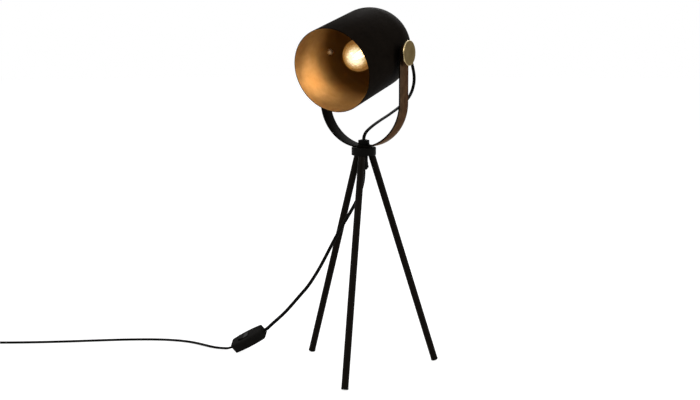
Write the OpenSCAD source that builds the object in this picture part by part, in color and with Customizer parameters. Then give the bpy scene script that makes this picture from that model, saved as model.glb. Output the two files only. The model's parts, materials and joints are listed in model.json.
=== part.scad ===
// Tripod table lamp with a tilting bucket shade, an in-line switch on the flex and a two-pin plug.
// Millimetres, +Z up. The origin is the point of the table under the axis of the hub.

/* [Tripod] */
// Height of the underside of the hub
hub_bottom_z = 312.8; // [250:1:380]
// Diameter of the hub
hub_d = 35; // [33:0.5:44]
// Height of the hub
hub_h = 11.2; // [10:0.2:16]
// Distance from the axis to a leg's centre line where it meets the table
foot_radius = 110.8; // [90:1:150]
// Distance from the axis to a leg's centre line at the underside of the hub
leg_top_radius = 11.6; // [11.5:0.1:12.5]
// Direction of the first leg, counted from +X
leg_turn = 16.3; // [0:1:60]
// Outer diameter of a leg's tube
leg_d = 10; // [9:0.2:10.4]
// Wall of a leg's tube
leg_wall = 1; // [0.8:0.1:1.4]
// Diameter of the stud that holds a leg to the hub
leg_stud_d = 5; // [4:0.5:5]
// Thickness of the cap on a leg's lower end
foot_cap_t = 2.5; // [2:0.5:5]
// Depth of the flat that a cap stands on
foot_flat = 0.4; // [0.2:0.1:0.6]

/* [Stem] */
// Diameter of the hollow stem through the hub
stem_d = 9.9; // [9:0.1:10]
// Bore of the stem
stem_bore_d = 6; // [5.8:0.1:6.4]
// Width of the top nut across its flats
nut_flats = 14; // [13:0.5:16]
// Height of the top nut
nut_h = 6; // [4:0.5:8]
// Diameter of the washer under the top nut
washer_d = 17.5; // [15:0.5:18]
// Thickness of the washer under the top nut
washer_t = 1.4; // [1:0.1:2]
// Thickness of the slip washer between the hub and the yoke
slip_t = 0.5; // [0.3:0.1:1]
// Diameter of the cord grip under the hub
grip_d = 11.6; // [11.4:0.1:12]
// Length of the cord grip under the hub
grip_len = 21; // [18:1:26]

/* [Yoke] */
// Gap between the shade and a yoke arm
arm_gap = 3.9; // [3:0.1:9]
// Width of the strap
strap_w = 24.4; // [18:0.2:30]
// Thickness of the strap
strap_t = 2.2; // [1.5:0.1:2.6]
// Width of the flat at the bottom of the yoke
yoke_flat_w = 18.3; // [17.6:0.1:22]
// Straight length of an arm, from the half round up to the pivot
arm_rise = 68.9; // [62:0.5:90]
// Turn of the lamp's head about the upright axis, from straight ahead
head_yaw = 30; // [0:1:60]

/* [Shade] */
// Outer radius of the shade
shade_r = 58.6; // [57:0.1:60]
// Length of the shade from the centre of its dome to its mouth
shade_len = 106.6; // [90:1:130]
// Wall of the shade
shade_wall = 0.8; // [0.6:0.1:1]
// Distance from the dome's centre to the pivot, towards the mouth
pivot_ahead = 17; // [10:1:25]
// Tilt of the shade below the horizontal
shade_tilt = 14.6; // [0:0.1:30]

/* [Pivot] */
// Diameter of the pivot stud
stud_d = 5; // [4:0.5:6]
// Diameter of the spacer between the shade and an arm
spacer_d = 12; // [10:0.5:14]
// Diameter of the knob's disc
knob_d = 34.7; // [26:0.1:40]
// Thickness of the knob's disc
knob_t = 2; // [1.5:0.1:3]
// Diameter of the knob's boss
boss_d = 12; // [10:0.5:16]
// Length of the knob's boss
boss_len = 5.3; // [4:0.1:8]
// Thickness of the washer under a knob
knob_washer_t = 0.8; // [0.5:0.1:1]

/* [Bulb] */
// Diameter of the bulb's globe
globe_d = 45; // [40:1:45]
// Length of the bulb
bulb_len = 78; // [74:1:80]
// Diameter of the bulb's screw cap
bulb_cap_d = 13.8; // [13:0.1:14]
// Outer diameter of the lamp holder
holder_d = 28; // [26:0.5:30]
// Length of the lamp holder's cap
holder_cap_len = 19.65; // [18:0.05:22]

/* [Flex] */
// Width of the flat flex
cord_d = 5; // [4.6:0.1:5.1]
// Thickness of the flat flex
cord_t = 3.2; // [2.8:0.1:3.6]
// Number of turns in the coil
coil_turns = 5; // [3:1:6]
// Radius of the coil's outermost turn
coil_r = 34; // [32:0.5:40]
// Distance from one turn of the coil to the next
coil_pitch = 5.6; // [5.5:0.1:6]

/* [Switch] */
// Length of the switch
switch_len = 58; // [52:1:66]
// Width of the switch
switch_w = 25; // [23:0.5:28]
// Height of the switch
switch_h = 14.5; // [14:0.5:18]
// Wall of the switch's shells
switch_wall = 1.6; // [1.2:0.1:2]
// Length of the rocker
rocker_len = 17.4; // [14:0.2:18]
// Width of the rocker
rocker_w = 9.6; // [8:0.2:11]
// Place of the rocker's pin along the switch
rocker_at = 25; // [22:0.5:30]
// Slope of the switch on its flex
switch_pitch = 30; // [24:1:34]
// Roll of the switch about its flex, its rocker towards the front
switch_roll = 27; // [0:1:32]

/* [Plug] */
// Width of the plug
plug_w = 25; // [24:0.5:28]
// Thickness of the plug
plug_t = 13.7; // [12:0.1:15]
// Length of the plug's body
plug_len = 35; // [32:1:40]
// Diameter of a pin
pin_d = 4; // [3.8:0.1:4.2]
// Length of a pin
pin_len = 19; // [18:0.5:20]
// Distance between the pins
pin_gap = 19; // [18:0.2:19.4]
// Length of the plug's tapered relief
relief_len = 22; // [20:1:30]

/* [Hidden] */
$fn = 72;

// Clearances
fit = 0.05;        // radial clearance of a shaft in its hole
face_gap = 0.1;    // between the flat faces of two pieces that move on each other
soft_fit = 0.15;   // radial clearance of the flex in a grip
seat = 0.02;       // between a flat piece and the curved wall that it sits on
big = 400;         // longer than the lamp is wide, for cuts

// Distance from the axis to the outer face of a yoke arm
yoke_half_w = shade_r + arm_gap + strap_t;

// Heights on the axis, from the table up
hub_top_z = hub_bottom_z + hub_h;
yoke_bottom_z = hub_top_z + slip_t + face_gap;
strap_top_z = yoke_bottom_z + strap_t;
top_washer_z = strap_top_z + face_gap;
top_nut_z = top_washer_z + washer_t;
stem_top_z = top_nut_z + nut_h - 0.3;
bush_flange_t = 0.8;
head_cord_z = stem_top_z + bush_flange_t + face_gap;
grip_bottom_z = hub_bottom_z - grip_len;
grip_thread_len = 13;
yoke_centre_z = yoke_bottom_z + sqrt(yoke_half_w * yoke_half_w - yoke_flat_w * yoke_flat_w / 4);
pivot_z = yoke_centre_z + arm_rise;

// Legs
leg_tilt = atan((foot_radius - leg_top_radius) / hub_bottom_z);
foot_cap_r = leg_d / 2 + 0.2;
foot_edge = 1.2;      // rounding of the cap's lower edge
leg_end = foot_edge + (hub_bottom_z + foot_flat - foot_edge - (foot_cap_r - foot_edge) * sin(leg_tilt))
    / cos(leg_tilt);
leg_bore_r = leg_d / 2 - leg_wall;
leg_stud_in_hub = 7.5;
leg_stud_in_leg = 12;
foot_plug_len = 12;

// Pivot, counted outwards from the shade's axis
arm_inner = yoke_half_w - strap_t;
knob_washer_x = yoke_half_w;
boss_x = knob_washer_x + knob_washer_t + face_gap;
disc_x = boss_x + boss_len;
pivot_nut_flats = 8;
pivot_nut_t = 4;
pivot_nut_r = pivot_nut_flats / 2 / cos(30);
shade_in_r = shade_r - shade_wall;
pivot_nut_x = sqrt(shade_in_r * shade_in_r - pivot_nut_r * pivot_nut_r) - seat;
stud_tip = 2.2;
knob_wall = 1;

// Lamp holder, on the shade's axis from the centre of the dome, towards the mouth
nipple_r = stem_d / 2;
nipple_hole_r = nipple_r + fit;
grip_seat = -sqrt(shade_r * shade_r - nipple_hole_r * nipple_hole_r) - seat;
shade_washer_t = 1;
shade_grip_len = 14;
shade_grip_end = grip_seat - shade_washer_t - shade_grip_len;
cap_top_r = 7;
cap_top = -sqrt(shade_in_r * shade_in_r - cap_top_r * cap_top_r) + seat;
holder_contact_h = 3;
holder_depth = 22;
terminal_room = 11;
holder_split = cap_top + holder_cap_len;
holder_floor = holder_split + terminal_room;
bulb_foot = holder_floor + holder_contact_h;
holder_mouth = bulb_foot + holder_depth;
globe_ahead = bulb_foot + bulb_len - globe_d / 2;
holder_wall = 1.8;
nipple_in = 8;
nipple_out = 8;
terminal_h = 7;

// Flex
cord_r = cord_d / 2;
cord_hole_r = cord_r + soft_fit;
flex_turn = 20.3;     // direction of the flex from the hub, from -X towards +Y
switch_corner = 7.5;  // corners of the switch's plan
switch_side_r = 150;  // its bulging sides
switch_far = 212.6;   // distance from the axis to the lower end of the switch's centre line
cuff_out = 2;
cuff_r = 4.1;
flex_in_switch = 6;
coil_x = -624;
coil_y = 82;
coil_base = cord_t / 2 + 0.7;
coil_rise = cord_t + 0.5;
coil_start = 90;
loop_rings = 24;
plug_x = -684;
plug_y = 50;

// Route of the flex from the hub down to the switch: distance from the axis, and height
flex_upper_points = [[0, 285], [1.2, 274], [4.6, 261], [10, 248], [17, 235], [25, 221.5], [33.5, 207.5],
    [42, 193], [50.5, 177.5], [59, 161.5], [68, 145], [78, 128.5], [89, 112.5], [102, 97.3], [114.5, 82.8],
    [126, 70], [135.5, 60.9], [144.3, 52.8], [150.6, 46.9], [155.6, 42.2]];
// Route on the table from the switch to the coil: x, y, and how far the flex still hangs above the table
flex_lower_points = [[-222.5, 81.6, 1.7], [-229.3, 84.9, 1.5], [-236.2, 89.8, 1.2], [-244, 96.4, 0.9],
    [-252.5, 103.8, 0.6], [-261, 110.8, 0.3], [-270, 117.2, 0.1], [-281, 122.8, 0], [-294, 127.4, 0],
    [-310, 131, 0], [-328, 133.2, 0], [-348, 133.8, 0], [-372, 133, 0], [-396, 131, 0], [-420, 128.2, 0],
    [-446, 125, 0], [-472, 122, 0], [-498, 119.5, 0], [-524, 117.6, 0], [-550, 116.4, 0], [-576, 116, 0],
    [-602, 116, 0]];
// Route of the last stretch, from the coil to the plug: x, y, z
flex_end_points = [[-643, 115.7, 6.2], [-653.6, 113.6, 6.3], [-663.5, 109, 6.4], [-672, 102.4, 6.5],
    [-678.6, 93.6, 6.6], [-682.6, 84, 6.8]];
// Route of the cord from the stem to the back of the shade: distance behind the axis, and rise
head_cord_points = [[0.6, 3.4], [2.5, 6.4], [5.8, 9.3], [10.6, 11.9], [17, 14.4], [24, 16.8], [34, 19.8],
    [51, 24.3], [67, 28.1], [82, 32.1], [97, 36.3], [112, 41.1], [126, 46.5], [138.5, 53.3], [148, 62.3],
    [153.6, 73.5], [153.8, 85.1], [149.2, 97.1], [142.4, 109.3], [135.2, 120.9], [127.4, 131.7],
    [119, 141.1], [111.2, 146.3], [103.2, 148.1]];

function unit(v) = v / norm(v);
// A point of the upright plane that the flex hangs in
function hung(p) = [-cos(flex_turn) * p[0], sin(flex_turn) * p[0], p[1]];
// Half the width of the switch at a distance x from its lower end, up to its middle
function switch_half_w(x) = switch_w / 2
    + min(sqrt(pow(switch_side_r, 2) - pow(switch_len / 2 - x, 2)) - switch_side_r,
          sqrt(pow(switch_corner, 2) - pow(max(0, switch_corner - x), 2)) - switch_corner);
// Height of the lower end of the switch's centre line, so that its lowest corner stands on the table
switch_lift = cos(switch_roll) * cos(switch_pitch) * switch_h / 2
    + max([for (x = [0:0.25:switch_len / 2])
        cos(switch_pitch) * sin(switch_roll) * switch_half_w(x) - sin(switch_pitch) * x]);
// A point of the switch's centre line, counted from its lower end
function switch_line(x) = [switch_far - cos(switch_pitch) * x, switch_lift + sin(switch_pitch) * x];
// A point of the shade's upright plane of symmetry, behind the axis
function behind(p) = [sin(head_yaw) * p[0], cos(head_yaw) * p[0], p[1]];
// A point of the shade's centre line, as seen in that plane
function shade_line(z) = [cos(shade_tilt) * (pivot_ahead - z), pivot_z + sin(shade_tilt) * (pivot_ahead - z)];
// Direction of a route at point i
function heading(p, i) = unit(p[min(i + 1, len(p) - 1)] - p[max(i - 1, 0)]);
// Section with round sides, half_u by half_v from its centre
function section(half_u, half_v, sides) = [for (k = [0:sides - 1])
    let (a = (k + 0.5) * 360 / sides, r = min(half_u, half_v))
    [r * cos(a) + (half_u - r) * sign(cos(a)), r * sin(a) + (half_v - r) * sign(sin(a))]];
// Rings of a flex along a route; aside is a vector that the route never runs along, and u lies nearest to it
function rings(p, aside, flat) = [for (i = [0:len(p) - 1])
    let (t = heading(p, i), v = unit(cross(t, aside)), u = cross(v, t))
    for (q = flat) p[i] + q[0] * u + q[1] * v];

flex_upper_route = concat([hung([0, grip_bottom_z])], [for (p = flex_upper_points) hung(p)],
    [hung(switch_line(switch_len + cuff_out)), hung(switch_line(switch_len - flex_in_switch))]);
flex_lower_route = concat([hung(switch_line(flex_in_switch)), hung(switch_line(-cuff_out)),
    hung([switch_far + 5.4, 5.8]), hung([switch_far + 9.2, 4.5]), hung([switch_far + 13.2, 3.7]),
    hung([switch_far + 18, 3.4])], [for (p = flex_lower_points) [p[0], p[1], cord_t / 2 + p[2]]],
    [[coil_x + 2 * cord_d, coil_y + coil_r, coil_base],
     [coil_x + cord_d, coil_y + coil_r, coil_base]]);
flex_end_route = concat([[coil_x - cord_d, coil_y + coil_r, coil_base + coil_rise],
    [coil_x - 2 * cord_d, coil_y + coil_r, coil_base + coil_rise]], flex_end_points,
    [[plug_x, plug_y + relief_len + cord_d, plug_t / 2], [plug_x, plug_y + relief_len, plug_t / 2]]);
head_cord_route = concat([behind([0, head_cord_z]), behind([0, head_cord_z + 0.8])],
    [for (p = head_cord_points) behind([p[0], head_cord_z + p[1]])],
    [behind(shade_line(shade_grip_end - 8)), behind(shade_line(shade_grip_end - face_gap))]);

// The coil spirals in and out again, and climbs a layer in the half turn where it reverses
function climb(t) = let (u = min(1, max(0, (t - coil_turns / 2) * 2 + 0.5))) u * u * (3 - 2 * u);
function coil_point(t) = let (r = coil_r - coil_pitch * min(t, coil_turns - t), a = coil_start + 360 * t)
    [coil_x + r * cos(a), coil_y + r * sin(a), coil_base + coil_rise * climb(t)];
coil_steps = coil_turns * loop_rings;
coil_route = concat([[coil_x + cord_d, coil_y + coil_r, coil_base]],
    [for (i = [0:coil_steps]) coil_point(i / loop_rings)],
    [[coil_x - cord_d, coil_y + coil_r, coil_base + coil_rise]]);
coil_gap = min([for (i = [0:coil_steps - loop_rings / 2], j = [i + loop_rings / 2:coil_steps])
    let (d = coil_point(i / loop_rings) - coil_point(j / loop_rings))
    norm([d[0], d[1], d[2] * cord_d / cord_t])]) - cord_d;
echo(least_gap_in_coil_mm = coil_gap);

module flex_along(p, aside, half_u, half_v, sides = 8) {
    n = len(p);
    polyhedron(points = rings(p, aside, section(half_u, half_v, sides)),
        faces = concat(
            [for (i = [0:n - 2], k = [0:sides - 1]) let (a = i * sides, m = (k + 1) % sides)
                [a + k, a + m, a + sides + m]],
            [for (i = [0:n - 2], k = [0:sides - 1]) let (a = i * sides, m = (k + 1) % sides)
                [a + k, a + sides + m, a + sides + k]],
            [for (k = [1:sides - 2]) [0, k + 1, k]],
            [for (k = [1:sides - 2]) [(n - 1) * sides, (n - 1) * sides + k, (n - 1) * sides + k + 1]]));
}

// Round bar from height a to height b, with an optional hole through it
module ring(r, a, b, hole = 0) {
    translate([0, 0, a]) difference() {
        cylinder(h = b - a, r = r);
        if (hole > 0) translate([0, 0, -1]) cylinder(h = b - a + 2, r = hole);
    }
}

// Straight piece of the flex from height a to height b, wide along X
module flat_bar(a, b) {
    translate([0, 0, a]) linear_extrude(b - a) {
        square([cord_d - cord_t, cord_t], center = true);
        for (side = [-1, 1]) translate([side * (cord_d - cord_t) / 2, 0]) circle(cord_t / 2);
    }
}

// Rectangle with round corners, its centre at the origin
module round_rect(w, h, r) {
    square([w - 2 * r, h], center = true);
    square([w, h - 2 * r], center = true);
    for (x = [-1, 1], y = [-1, 1]) translate([x * (w / 2 - r), y * (h / 2 - r)]) circle(r);
}

// Hexagon nut from height a to height b, with its top corners turned off
module hex_nut(flats, a, b, hole) {
    corner = flats / 2 / cos(30);
    chamfer = (corner - flats / 2) * 0.9;
    intersection() {
        translate([0, 0, a]) cylinder(h = b - a, r = corner, $fn = 6);
        rotate_extrude() difference() {
            polygon([[0, a], [corner, a], [corner, b - chamfer * 0.5], [corner - chamfer, b], [0, b]]);
            translate([0, a - 1]) square([hole, b - a + 2]);
        }
    }
}

// Places
module at_leg(turn) {
    rotate([0, 0, turn]) translate([leg_top_radius, 0, hub_bottom_z])
        rotate([0, 180 - leg_tilt, 0]) children();
}
module each_leg() {
    for (k = [0:2]) at_leg(leg_turn + 120 * k) children();
}
module above(z) {
    translate([0, 0, z + big / 2]) cube(big, center = true);
}
module at_pivot() {
    translate([0, 0, pivot_z]) rotate([shade_tilt, 0, -head_yaw]) children();
}
module at_shade() {
    at_pivot() translate([0, pivot_ahead, 0]) rotate([90, 0, 0]) children();
}
// Both sides of the pivot, with +Z outwards
module each_side() {
    at_pivot() for (side = [0, 1]) mirror([side, 0, 0]) rotate([0, 90, 0]) children();
}
module at_switch() {
    rotate([0, 0, -flex_turn]) translate([-switch_far, 0, switch_lift]) rotate([0, -switch_pitch, 0])
        rotate([switch_roll, 0, 0]) translate([0, 0, -switch_h / 2]) children();
}
module at_plug() {
    translate([plug_x, plug_y, plug_t / 2]) rotate([90, 0, 0]) children();
}

// Tripod
module leg_shape(r, from, to) {
    difference() {
        translate([0, 0, from]) cylinder(h = to - from, r = r);
        children();
    }
}
module hub() {
    edge = 0.6;
    color([0.09, 0.085, 0.08]) difference() {
        rotate_extrude() polygon([[0, hub_bottom_z], [hub_d / 2 - edge, hub_bottom_z],
            [hub_d / 2, hub_bottom_z + edge], [hub_d / 2, hub_top_z - edge], [hub_d / 2 - edge, hub_top_z],
            [0, hub_top_z]]);
        translate([0, 0, hub_bottom_z - 1]) cylinder(h = hub_h + 2, r = stem_d / 2 + fit);
        each_leg() translate([0, 0, -leg_stud_in_hub - 0.5])
            cylinder(h = leg_stud_in_hub + 5, r = leg_stud_d / 2 + fit);
    }
}
module leg(k) {
    color([0.1, 0.095, 0.09]) difference() {
        at_leg(leg_turn + 120 * k) ring(leg_d / 2, -leg_d, leg_end - foot_cap_t, leg_bore_r);
        above(hub_bottom_z);
    }
}
module leg_right() { leg(0); }
module leg_left() { leg(1); }
module leg_front() { leg(2); }
module leg_inserts() {
    color([0.55, 0.55, 0.55]) difference() {
        each_leg() ring(leg_bore_r - fit, -leg_d, leg_stud_in_leg + 2, leg_stud_d / 2 + fit);
        above(hub_bottom_z);
    }
}
module leg_studs() {
    color([0.6, 0.6, 0.6]) each_leg() ring(leg_stud_d / 2, -leg_stud_in_hub, leg_stud_in_leg);
}
module foot_caps() {
    color([0.05, 0.05, 0.05]) difference() {
        each_leg() {
            rotate_extrude() {
                translate([0, leg_end - foot_cap_t]) square([foot_cap_r, foot_cap_t - foot_edge]);
                translate([0, leg_end - foot_cap_t]) square([foot_cap_r - foot_edge, foot_cap_t]);
                translate([foot_cap_r - foot_edge, leg_end - foot_edge]) circle(foot_edge);
            }
            ring(leg_bore_r - fit, leg_end - foot_cap_t - foot_plug_len, leg_end - foot_cap_t);
        }
        translate([0, 0, -big / 2]) cube(big, center = true);
    }
}

// Stem and what it clamps
module stem() {
    color([0.5, 0.5, 0.48]) ring(stem_d / 2, hub_bottom_z - grip_thread_len, stem_top_z, stem_bore_d / 2);
}
module slip_washer() {
    color([0.06, 0.06, 0.06]) ring(yoke_flat_w / 2 - 0.2, hub_top_z, hub_top_z + slip_t, stem_d / 2 + 2 * fit);
}
module top_washer() {
    color([0.08, 0.08, 0.08]) ring(washer_d / 2, top_washer_z, top_nut_z, stem_d / 2 + 2 * fit);
}
module top_nut() {
    color([0.07, 0.07, 0.07]) hex_nut(nut_flats, top_nut_z, top_nut_z + nut_h, stem_d / 2 + fit);
}
module stem_bush() {
    color([0.04, 0.04, 0.04]) {
        ring(stem_d / 2 - 0.4, stem_top_z, stem_top_z + bush_flange_t, cord_hole_r);
        ring(stem_bore_d / 2 - fit, stem_top_z - 6, stem_top_z, cord_hole_r);
    }
}
module cord_grip() {
    bulge = 0.6;
    waist = grip_len * 0.45;
    nose_r = cord_hole_r + 1.4;
    color([0.05, 0.05, 0.05]) difference() {
        rotate_extrude() polygon([[0, hub_bottom_z], [grip_d / 2, hub_bottom_z],
            [grip_d / 2, hub_bottom_z - waist], [grip_d / 2 + bulge, hub_bottom_z - waist - 2],
            [grip_d / 2 + bulge, grip_bottom_z + 4.5], [grip_d / 2, grip_bottom_z + 2],
            [nose_r, grip_bottom_z], [0, grip_bottom_z]]);
        translate([0, 0, hub_bottom_z - grip_thread_len - 0.5])
            cylinder(h = grip_thread_len + 2, r = stem_d / 2 + fit);
        translate([0, 0, grip_bottom_z - 1]) cylinder(h = grip_len, r = cord_hole_r);
        at_grip_screw() translate([0, 0, cord_r]) cylinder(h = grip_d, r = grip_screw_r + fit);
    }
}
grip_screw_r = 1.5;
module at_grip_screw() {
    translate([0, 0, grip_bottom_z + 4.5]) rotate([0, 0, leg_turn - 34]) rotate([0, 90, 0]) children();
}
module grip_screw() {
    tip = cord_r + 0.1;
    head = grip_d / 2 + 1.3;
    color([0.04, 0.04, 0.04]) at_grip_screw() difference() {
        ring(grip_screw_r, tip, head);
        translate([0, 0, head]) cube([0.5, 4, 1.2], center = true);
    }
}
module stem_cord() {
    color([0.05, 0.05, 0.05]) rotate([0, 0, -(flex_turn + head_yaw) / 2])
        flat_bar(grip_bottom_z, stem_top_z + bush_flange_t);
}

// Yoke
module yoke_outline(inset) {
    r = yoke_half_w - inset;
    intersection() {
        union() {
            translate([0, yoke_centre_z]) circle(r, $fn = 180);
            translate([-r, yoke_centre_z]) square([2 * r, big]);
        }
        translate([-r, yoke_bottom_z + inset]) square([2 * r, big]);
    }
}
module yoke() {
    top = pivot_z + strap_w / 2;
    color([0.27, 0.2, 0.15]) rotate([0, 0, -head_yaw]) difference() {
        intersection() {
            translate([0, strap_w / 2, 0]) rotate([90, 0, 0]) linear_extrude(strap_w) difference() {
                yoke_outline(0);
                yoke_outline(strap_t);
            }
            translate([-yoke_half_w - 1, 0, 0]) rotate([90, 0, 90]) linear_extrude(2 * yoke_half_w + 2) union() {
                translate([0, pivot_z]) circle(strap_w / 2);
                translate([-strap_w / 2, 0]) square([strap_w, pivot_z]);
            }
        }
        translate([0, 0, pivot_z]) rotate([0, 90, 0])
            cylinder(h = 2 * yoke_half_w + 2, r = stud_d / 2 + fit, center = true);
        translate([0, 0, yoke_bottom_z - 1]) cylinder(h = strap_t + 2, r = stem_d / 2 + fit);
    }
}
module knob_washers() {
    color([0.3, 0.3, 0.3]) translate([0, 0, pivot_z]) rotate([0, 0, -head_yaw])
        for (side = [-90, 90]) rotate([0, side, 0])
            ring(boss_d / 2 - 0.5, knob_washer_x, knob_washer_x + knob_washer_t, stud_d / 2 + 2 * fit);
}
module head_cord() {
    color([0.05, 0.05, 0.05])
        flex_along(head_cord_route, [cos(head_yaw), -sin(head_yaw), 0], cord_r, cord_t / 2);
}

// Shade and its pivot
module shade() {
    color([0.09, 0.08, 0.065]) at_shade() difference() {
        rotate_extrude($fn = 180) intersection() {
            difference() {
                union() {
                    circle(shade_r);
                    square([shade_r, shade_len]);
                }
                circle(shade_in_r);
                square([shade_in_r, shade_len + 1]);
            }
            translate([0, -shade_r]) square([shade_r, shade_r + shade_len]);
        }
        translate([0, 0, -shade_r - 1]) cylinder(h = 5, r = nipple_hole_r);
        translate([0, 0, pivot_ahead]) rotate([0, 90, 0])
            cylinder(h = 2 * shade_r + 2, r = stud_d / 2 + fit, center = true);
    }
}
module pivot_spacers() {
    color([0.05, 0.05, 0.05]) difference() {
        each_side() ring(spacer_d / 2, shade_r - 3, arm_inner - face_gap, stud_d / 2 + fit);
        at_shade() translate([0, 0, -shade_len]) cylinder(h = 2 * shade_len, r = shade_r + seat, $fn = 180);
    }
}
module pivot_studs() {
    color([0.62, 0.6, 0.55]) each_side()
        ring(stud_d / 2, pivot_nut_x - pivot_nut_t - stud_tip, disc_x + knob_t - knob_wall - 0.4);
}
module pivot_nuts() {
    color([0.62, 0.6, 0.55]) each_side() mirror([0, 0, 1])
        hex_nut(pivot_nut_flats, -pivot_nut_x, pivot_nut_t - pivot_nut_x, stud_d / 2 + fit);
}
module knob() {
    edge = 0.5;
    outer = disc_x + knob_t;
    difference() {
        union() {
            ring(boss_d / 2, boss_x, disc_x);
            rotate_extrude() {
                translate([0, disc_x]) square([knob_d / 2 - edge, knob_t]);
                translate([0, disc_x + edge]) square([knob_d / 2, knob_t - 2 * edge]);
                for (z = [disc_x + edge, outer - edge]) translate([knob_d / 2 - edge, z]) circle(edge);
            }
        }
        translate([0, 0, boss_x - 1]) cylinder(h = outer - knob_wall - boss_x + 1, r = stud_d / 2 + fit);
    }
}
module knob_right() {
    color([0.5, 0.4, 0.24]) at_pivot() rotate([0, 90, 0]) knob();
}
module knob_left() {
    color([0.5, 0.4, 0.24]) at_pivot() mirror([1, 0, 0]) rotate([0, 90, 0]) knob();
}

// Lamp holder
module shade_washer() {
    color([0.3, 0.3, 0.3]) at_shade() ring(cap_top_r + 1, grip_seat - shade_washer_t, grip_seat, nipple_hole_r);
}
module shade_grip() {
    top = grip_seat - shade_washer_t;
    color([0.05, 0.05, 0.05]) at_shade() difference() {
        rotate_extrude() polygon([[0, top], [cap_top_r, top], [cap_top_r, top - 6], [cap_top_r - 1, top - 7.5],
            [cap_top_r - 1.6, shade_grip_end + 2.5], [cord_hole_r + 1.2, shade_grip_end], [0, shade_grip_end]]);
        translate([0, 0, shade_grip_end - 1]) cylinder(h = shade_grip_len + 2, r = cord_hole_r);
        translate([0, 0, grip_seat - nipple_out - 0.5]) cylinder(h = nipple_out + 1, r = nipple_r + fit);
    }
}
module holder_nipple() {
    color([0.7, 0.62, 0.4]) at_shade()
        ring(nipple_r, grip_seat - nipple_out, cap_top + nipple_in, stem_bore_d / 2);
}
module holder_cap() {
    color([0.06, 0.06, 0.06]) at_shade() rotate_extrude() difference() {
        polygon([[0, cap_top], [cap_top_r, cap_top], [holder_d / 2 - 2, cap_top + 3.2],
            [holder_d / 2, cap_top + 7], [holder_d / 2, holder_split], [0, holder_split]]);
        translate([0, cap_top - 1]) square([nipple_r + fit, 10]);
        polygon([[0, cap_top + nipple_in], [holder_d / 2 - holder_wall - 1, cap_top + nipple_in],
            [holder_d / 2 - holder_wall, cap_top + nipple_in + 2],
            [holder_d / 2 - holder_wall, holder_split + 1], [0, holder_split + 1]]);
    }
}
module lamp_holder() {
    bore = bulb_cap_d / 2 + 0.8;
    color([0.06, 0.06, 0.06]) at_shade() difference() {
        union() {
            ring(holder_d / 2, holder_split, holder_mouth);
            ring(holder_d / 2 - holder_wall - fit, holder_split - 4, holder_split);
        }
        translate([0, 0, holder_floor]) cylinder(h = bulb_len, r = bore);
        ring(holder_d / 2 - 2 * holder_wall - fit, holder_split - 5, holder_floor - 2);
        translate([0, 0, holder_floor - 3]) cylinder(h = 5, r = 2);
    }
}
module holder_contact() {
    color([0.75, 0.6, 0.3]) at_shade() {
        ring(2 - fit, holder_floor - terminal_h - 1, holder_floor);
        ring(3, holder_floor, bulb_foot - 0.3);
    }
}
module holder_terminals() {
    color([0.75, 0.6, 0.3]) at_shade() for (side = [-1, 1])
        translate([side * 5.5, 0, holder_floor - 2 - terminal_h / 2]) difference() {
            cube([5, 6, terminal_h], center = true);
            translate([0, 0, -terminal_h / 2 - 1]) cylinder(h = 6, r = 1.1);
        }
}
module holder_lead() {
    lead_end = cap_top + nipple_in + 1;
    wire_end = holder_floor - 2 - terminal_h;
    color([0.05, 0.05, 0.05]) at_shade() {
        flat_bar(shade_grip_end, lead_end);
        for (side = [-1, 1]) {
            translate([side * 1.4, 0, 0]) ring(0.9, lead_end - 1, (lead_end + wire_end) / 2 + 0.5);
            translate([side * 3.4, 0, (lead_end + wire_end) / 2 + 0.45]) cube([5.8, 1.8, 0.9], center = true);
            translate([side * 5.5, 0, 0]) ring(0.9, (lead_end + wire_end) / 2, wire_end + 4);
        }
    }
}

// Bulb
glass_t = 0.8;
neck_r = bulb_cap_d / 2 - 0.3;
neck_start = bulb_foot + 20.5;
module bulb_section(inset) {
    r = globe_d / 2 - inset;
    foot = neck_r - inset;
    far = norm([foot, neck_start - globe_ahead]);
    turn = atan2(neck_start - globe_ahead, foot) + acos(r / far);
    translate([0, globe_ahead]) circle(r, $fn = 120);
    polygon([[0, neck_start - 1], [foot, neck_start - 1], [foot, neck_start],
        [r * cos(turn), globe_ahead + r * sin(turn)], [0, globe_ahead + r * sin(turn)]]);
}
module bulb_glass() {
    color([1, 0.92, 0.75, 0.4]) at_shade() rotate_extrude($fn = 120) intersection() {
        difference() {
            bulb_section(0);
            bulb_section(glass_t);
        }
        translate([0, neck_start - 1]) square([globe_d, bulb_len]);
    }
}
module bulb_cap() {
    r = bulb_cap_d / 2 - 0.4;
    low = bulb_foot + 4;
    high = neck_start + 1.5;
    color([0.72, 0.68, 0.6]) at_shade() rotate_extrude() difference() {
        union() {
            translate([0, low]) square([r, high - low]);
            for (k = [0:4]) translate([r - 0.3, low + 2 + 2.8 * k]) circle(0.7);
        }
        translate([0, low - 1]) square([r - 0.5, neck_start - low - 0.5]);
        translate([0, neck_start - 1.6]) square([neck_r + fit, 9]);
    }
}
module bulb_insulator() {
    r = bulb_cap_d / 2 - 0.4;
    color([0.03, 0.03, 0.03]) at_shade() rotate_extrude()
        polygon([[0, bulb_foot + 1], [2.6, bulb_foot + 1], [r, bulb_foot + 4], [0, bulb_foot + 4]]);
}
module bulb_contact() {
    color([0.7, 0.68, 0.62]) at_shade() ring(2.4, bulb_foot, bulb_foot + 1);
}
filament_from = globe_ahead - 15;
filament_len = 27;
module bulb_mount() {
    color([0.85, 0.85, 0.82, 0.5]) at_shade() {
        translate([0, 0, bulb_foot + 4]) cylinder(h = neck_start - bulb_foot - 4, r = 3);
        translate([0, 0, neck_start]) cylinder(h = filament_from - neck_start - 3, r1 = 3, r2 = 1.6);
        for (k = [0:3]) rotate([0, 0, 45 + 90 * k]) translate([0, 0, filament_from - 4])
            rotate([0, 55, 0]) cylinder(h = 6.2, r = 0.3);
    }
}
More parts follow.
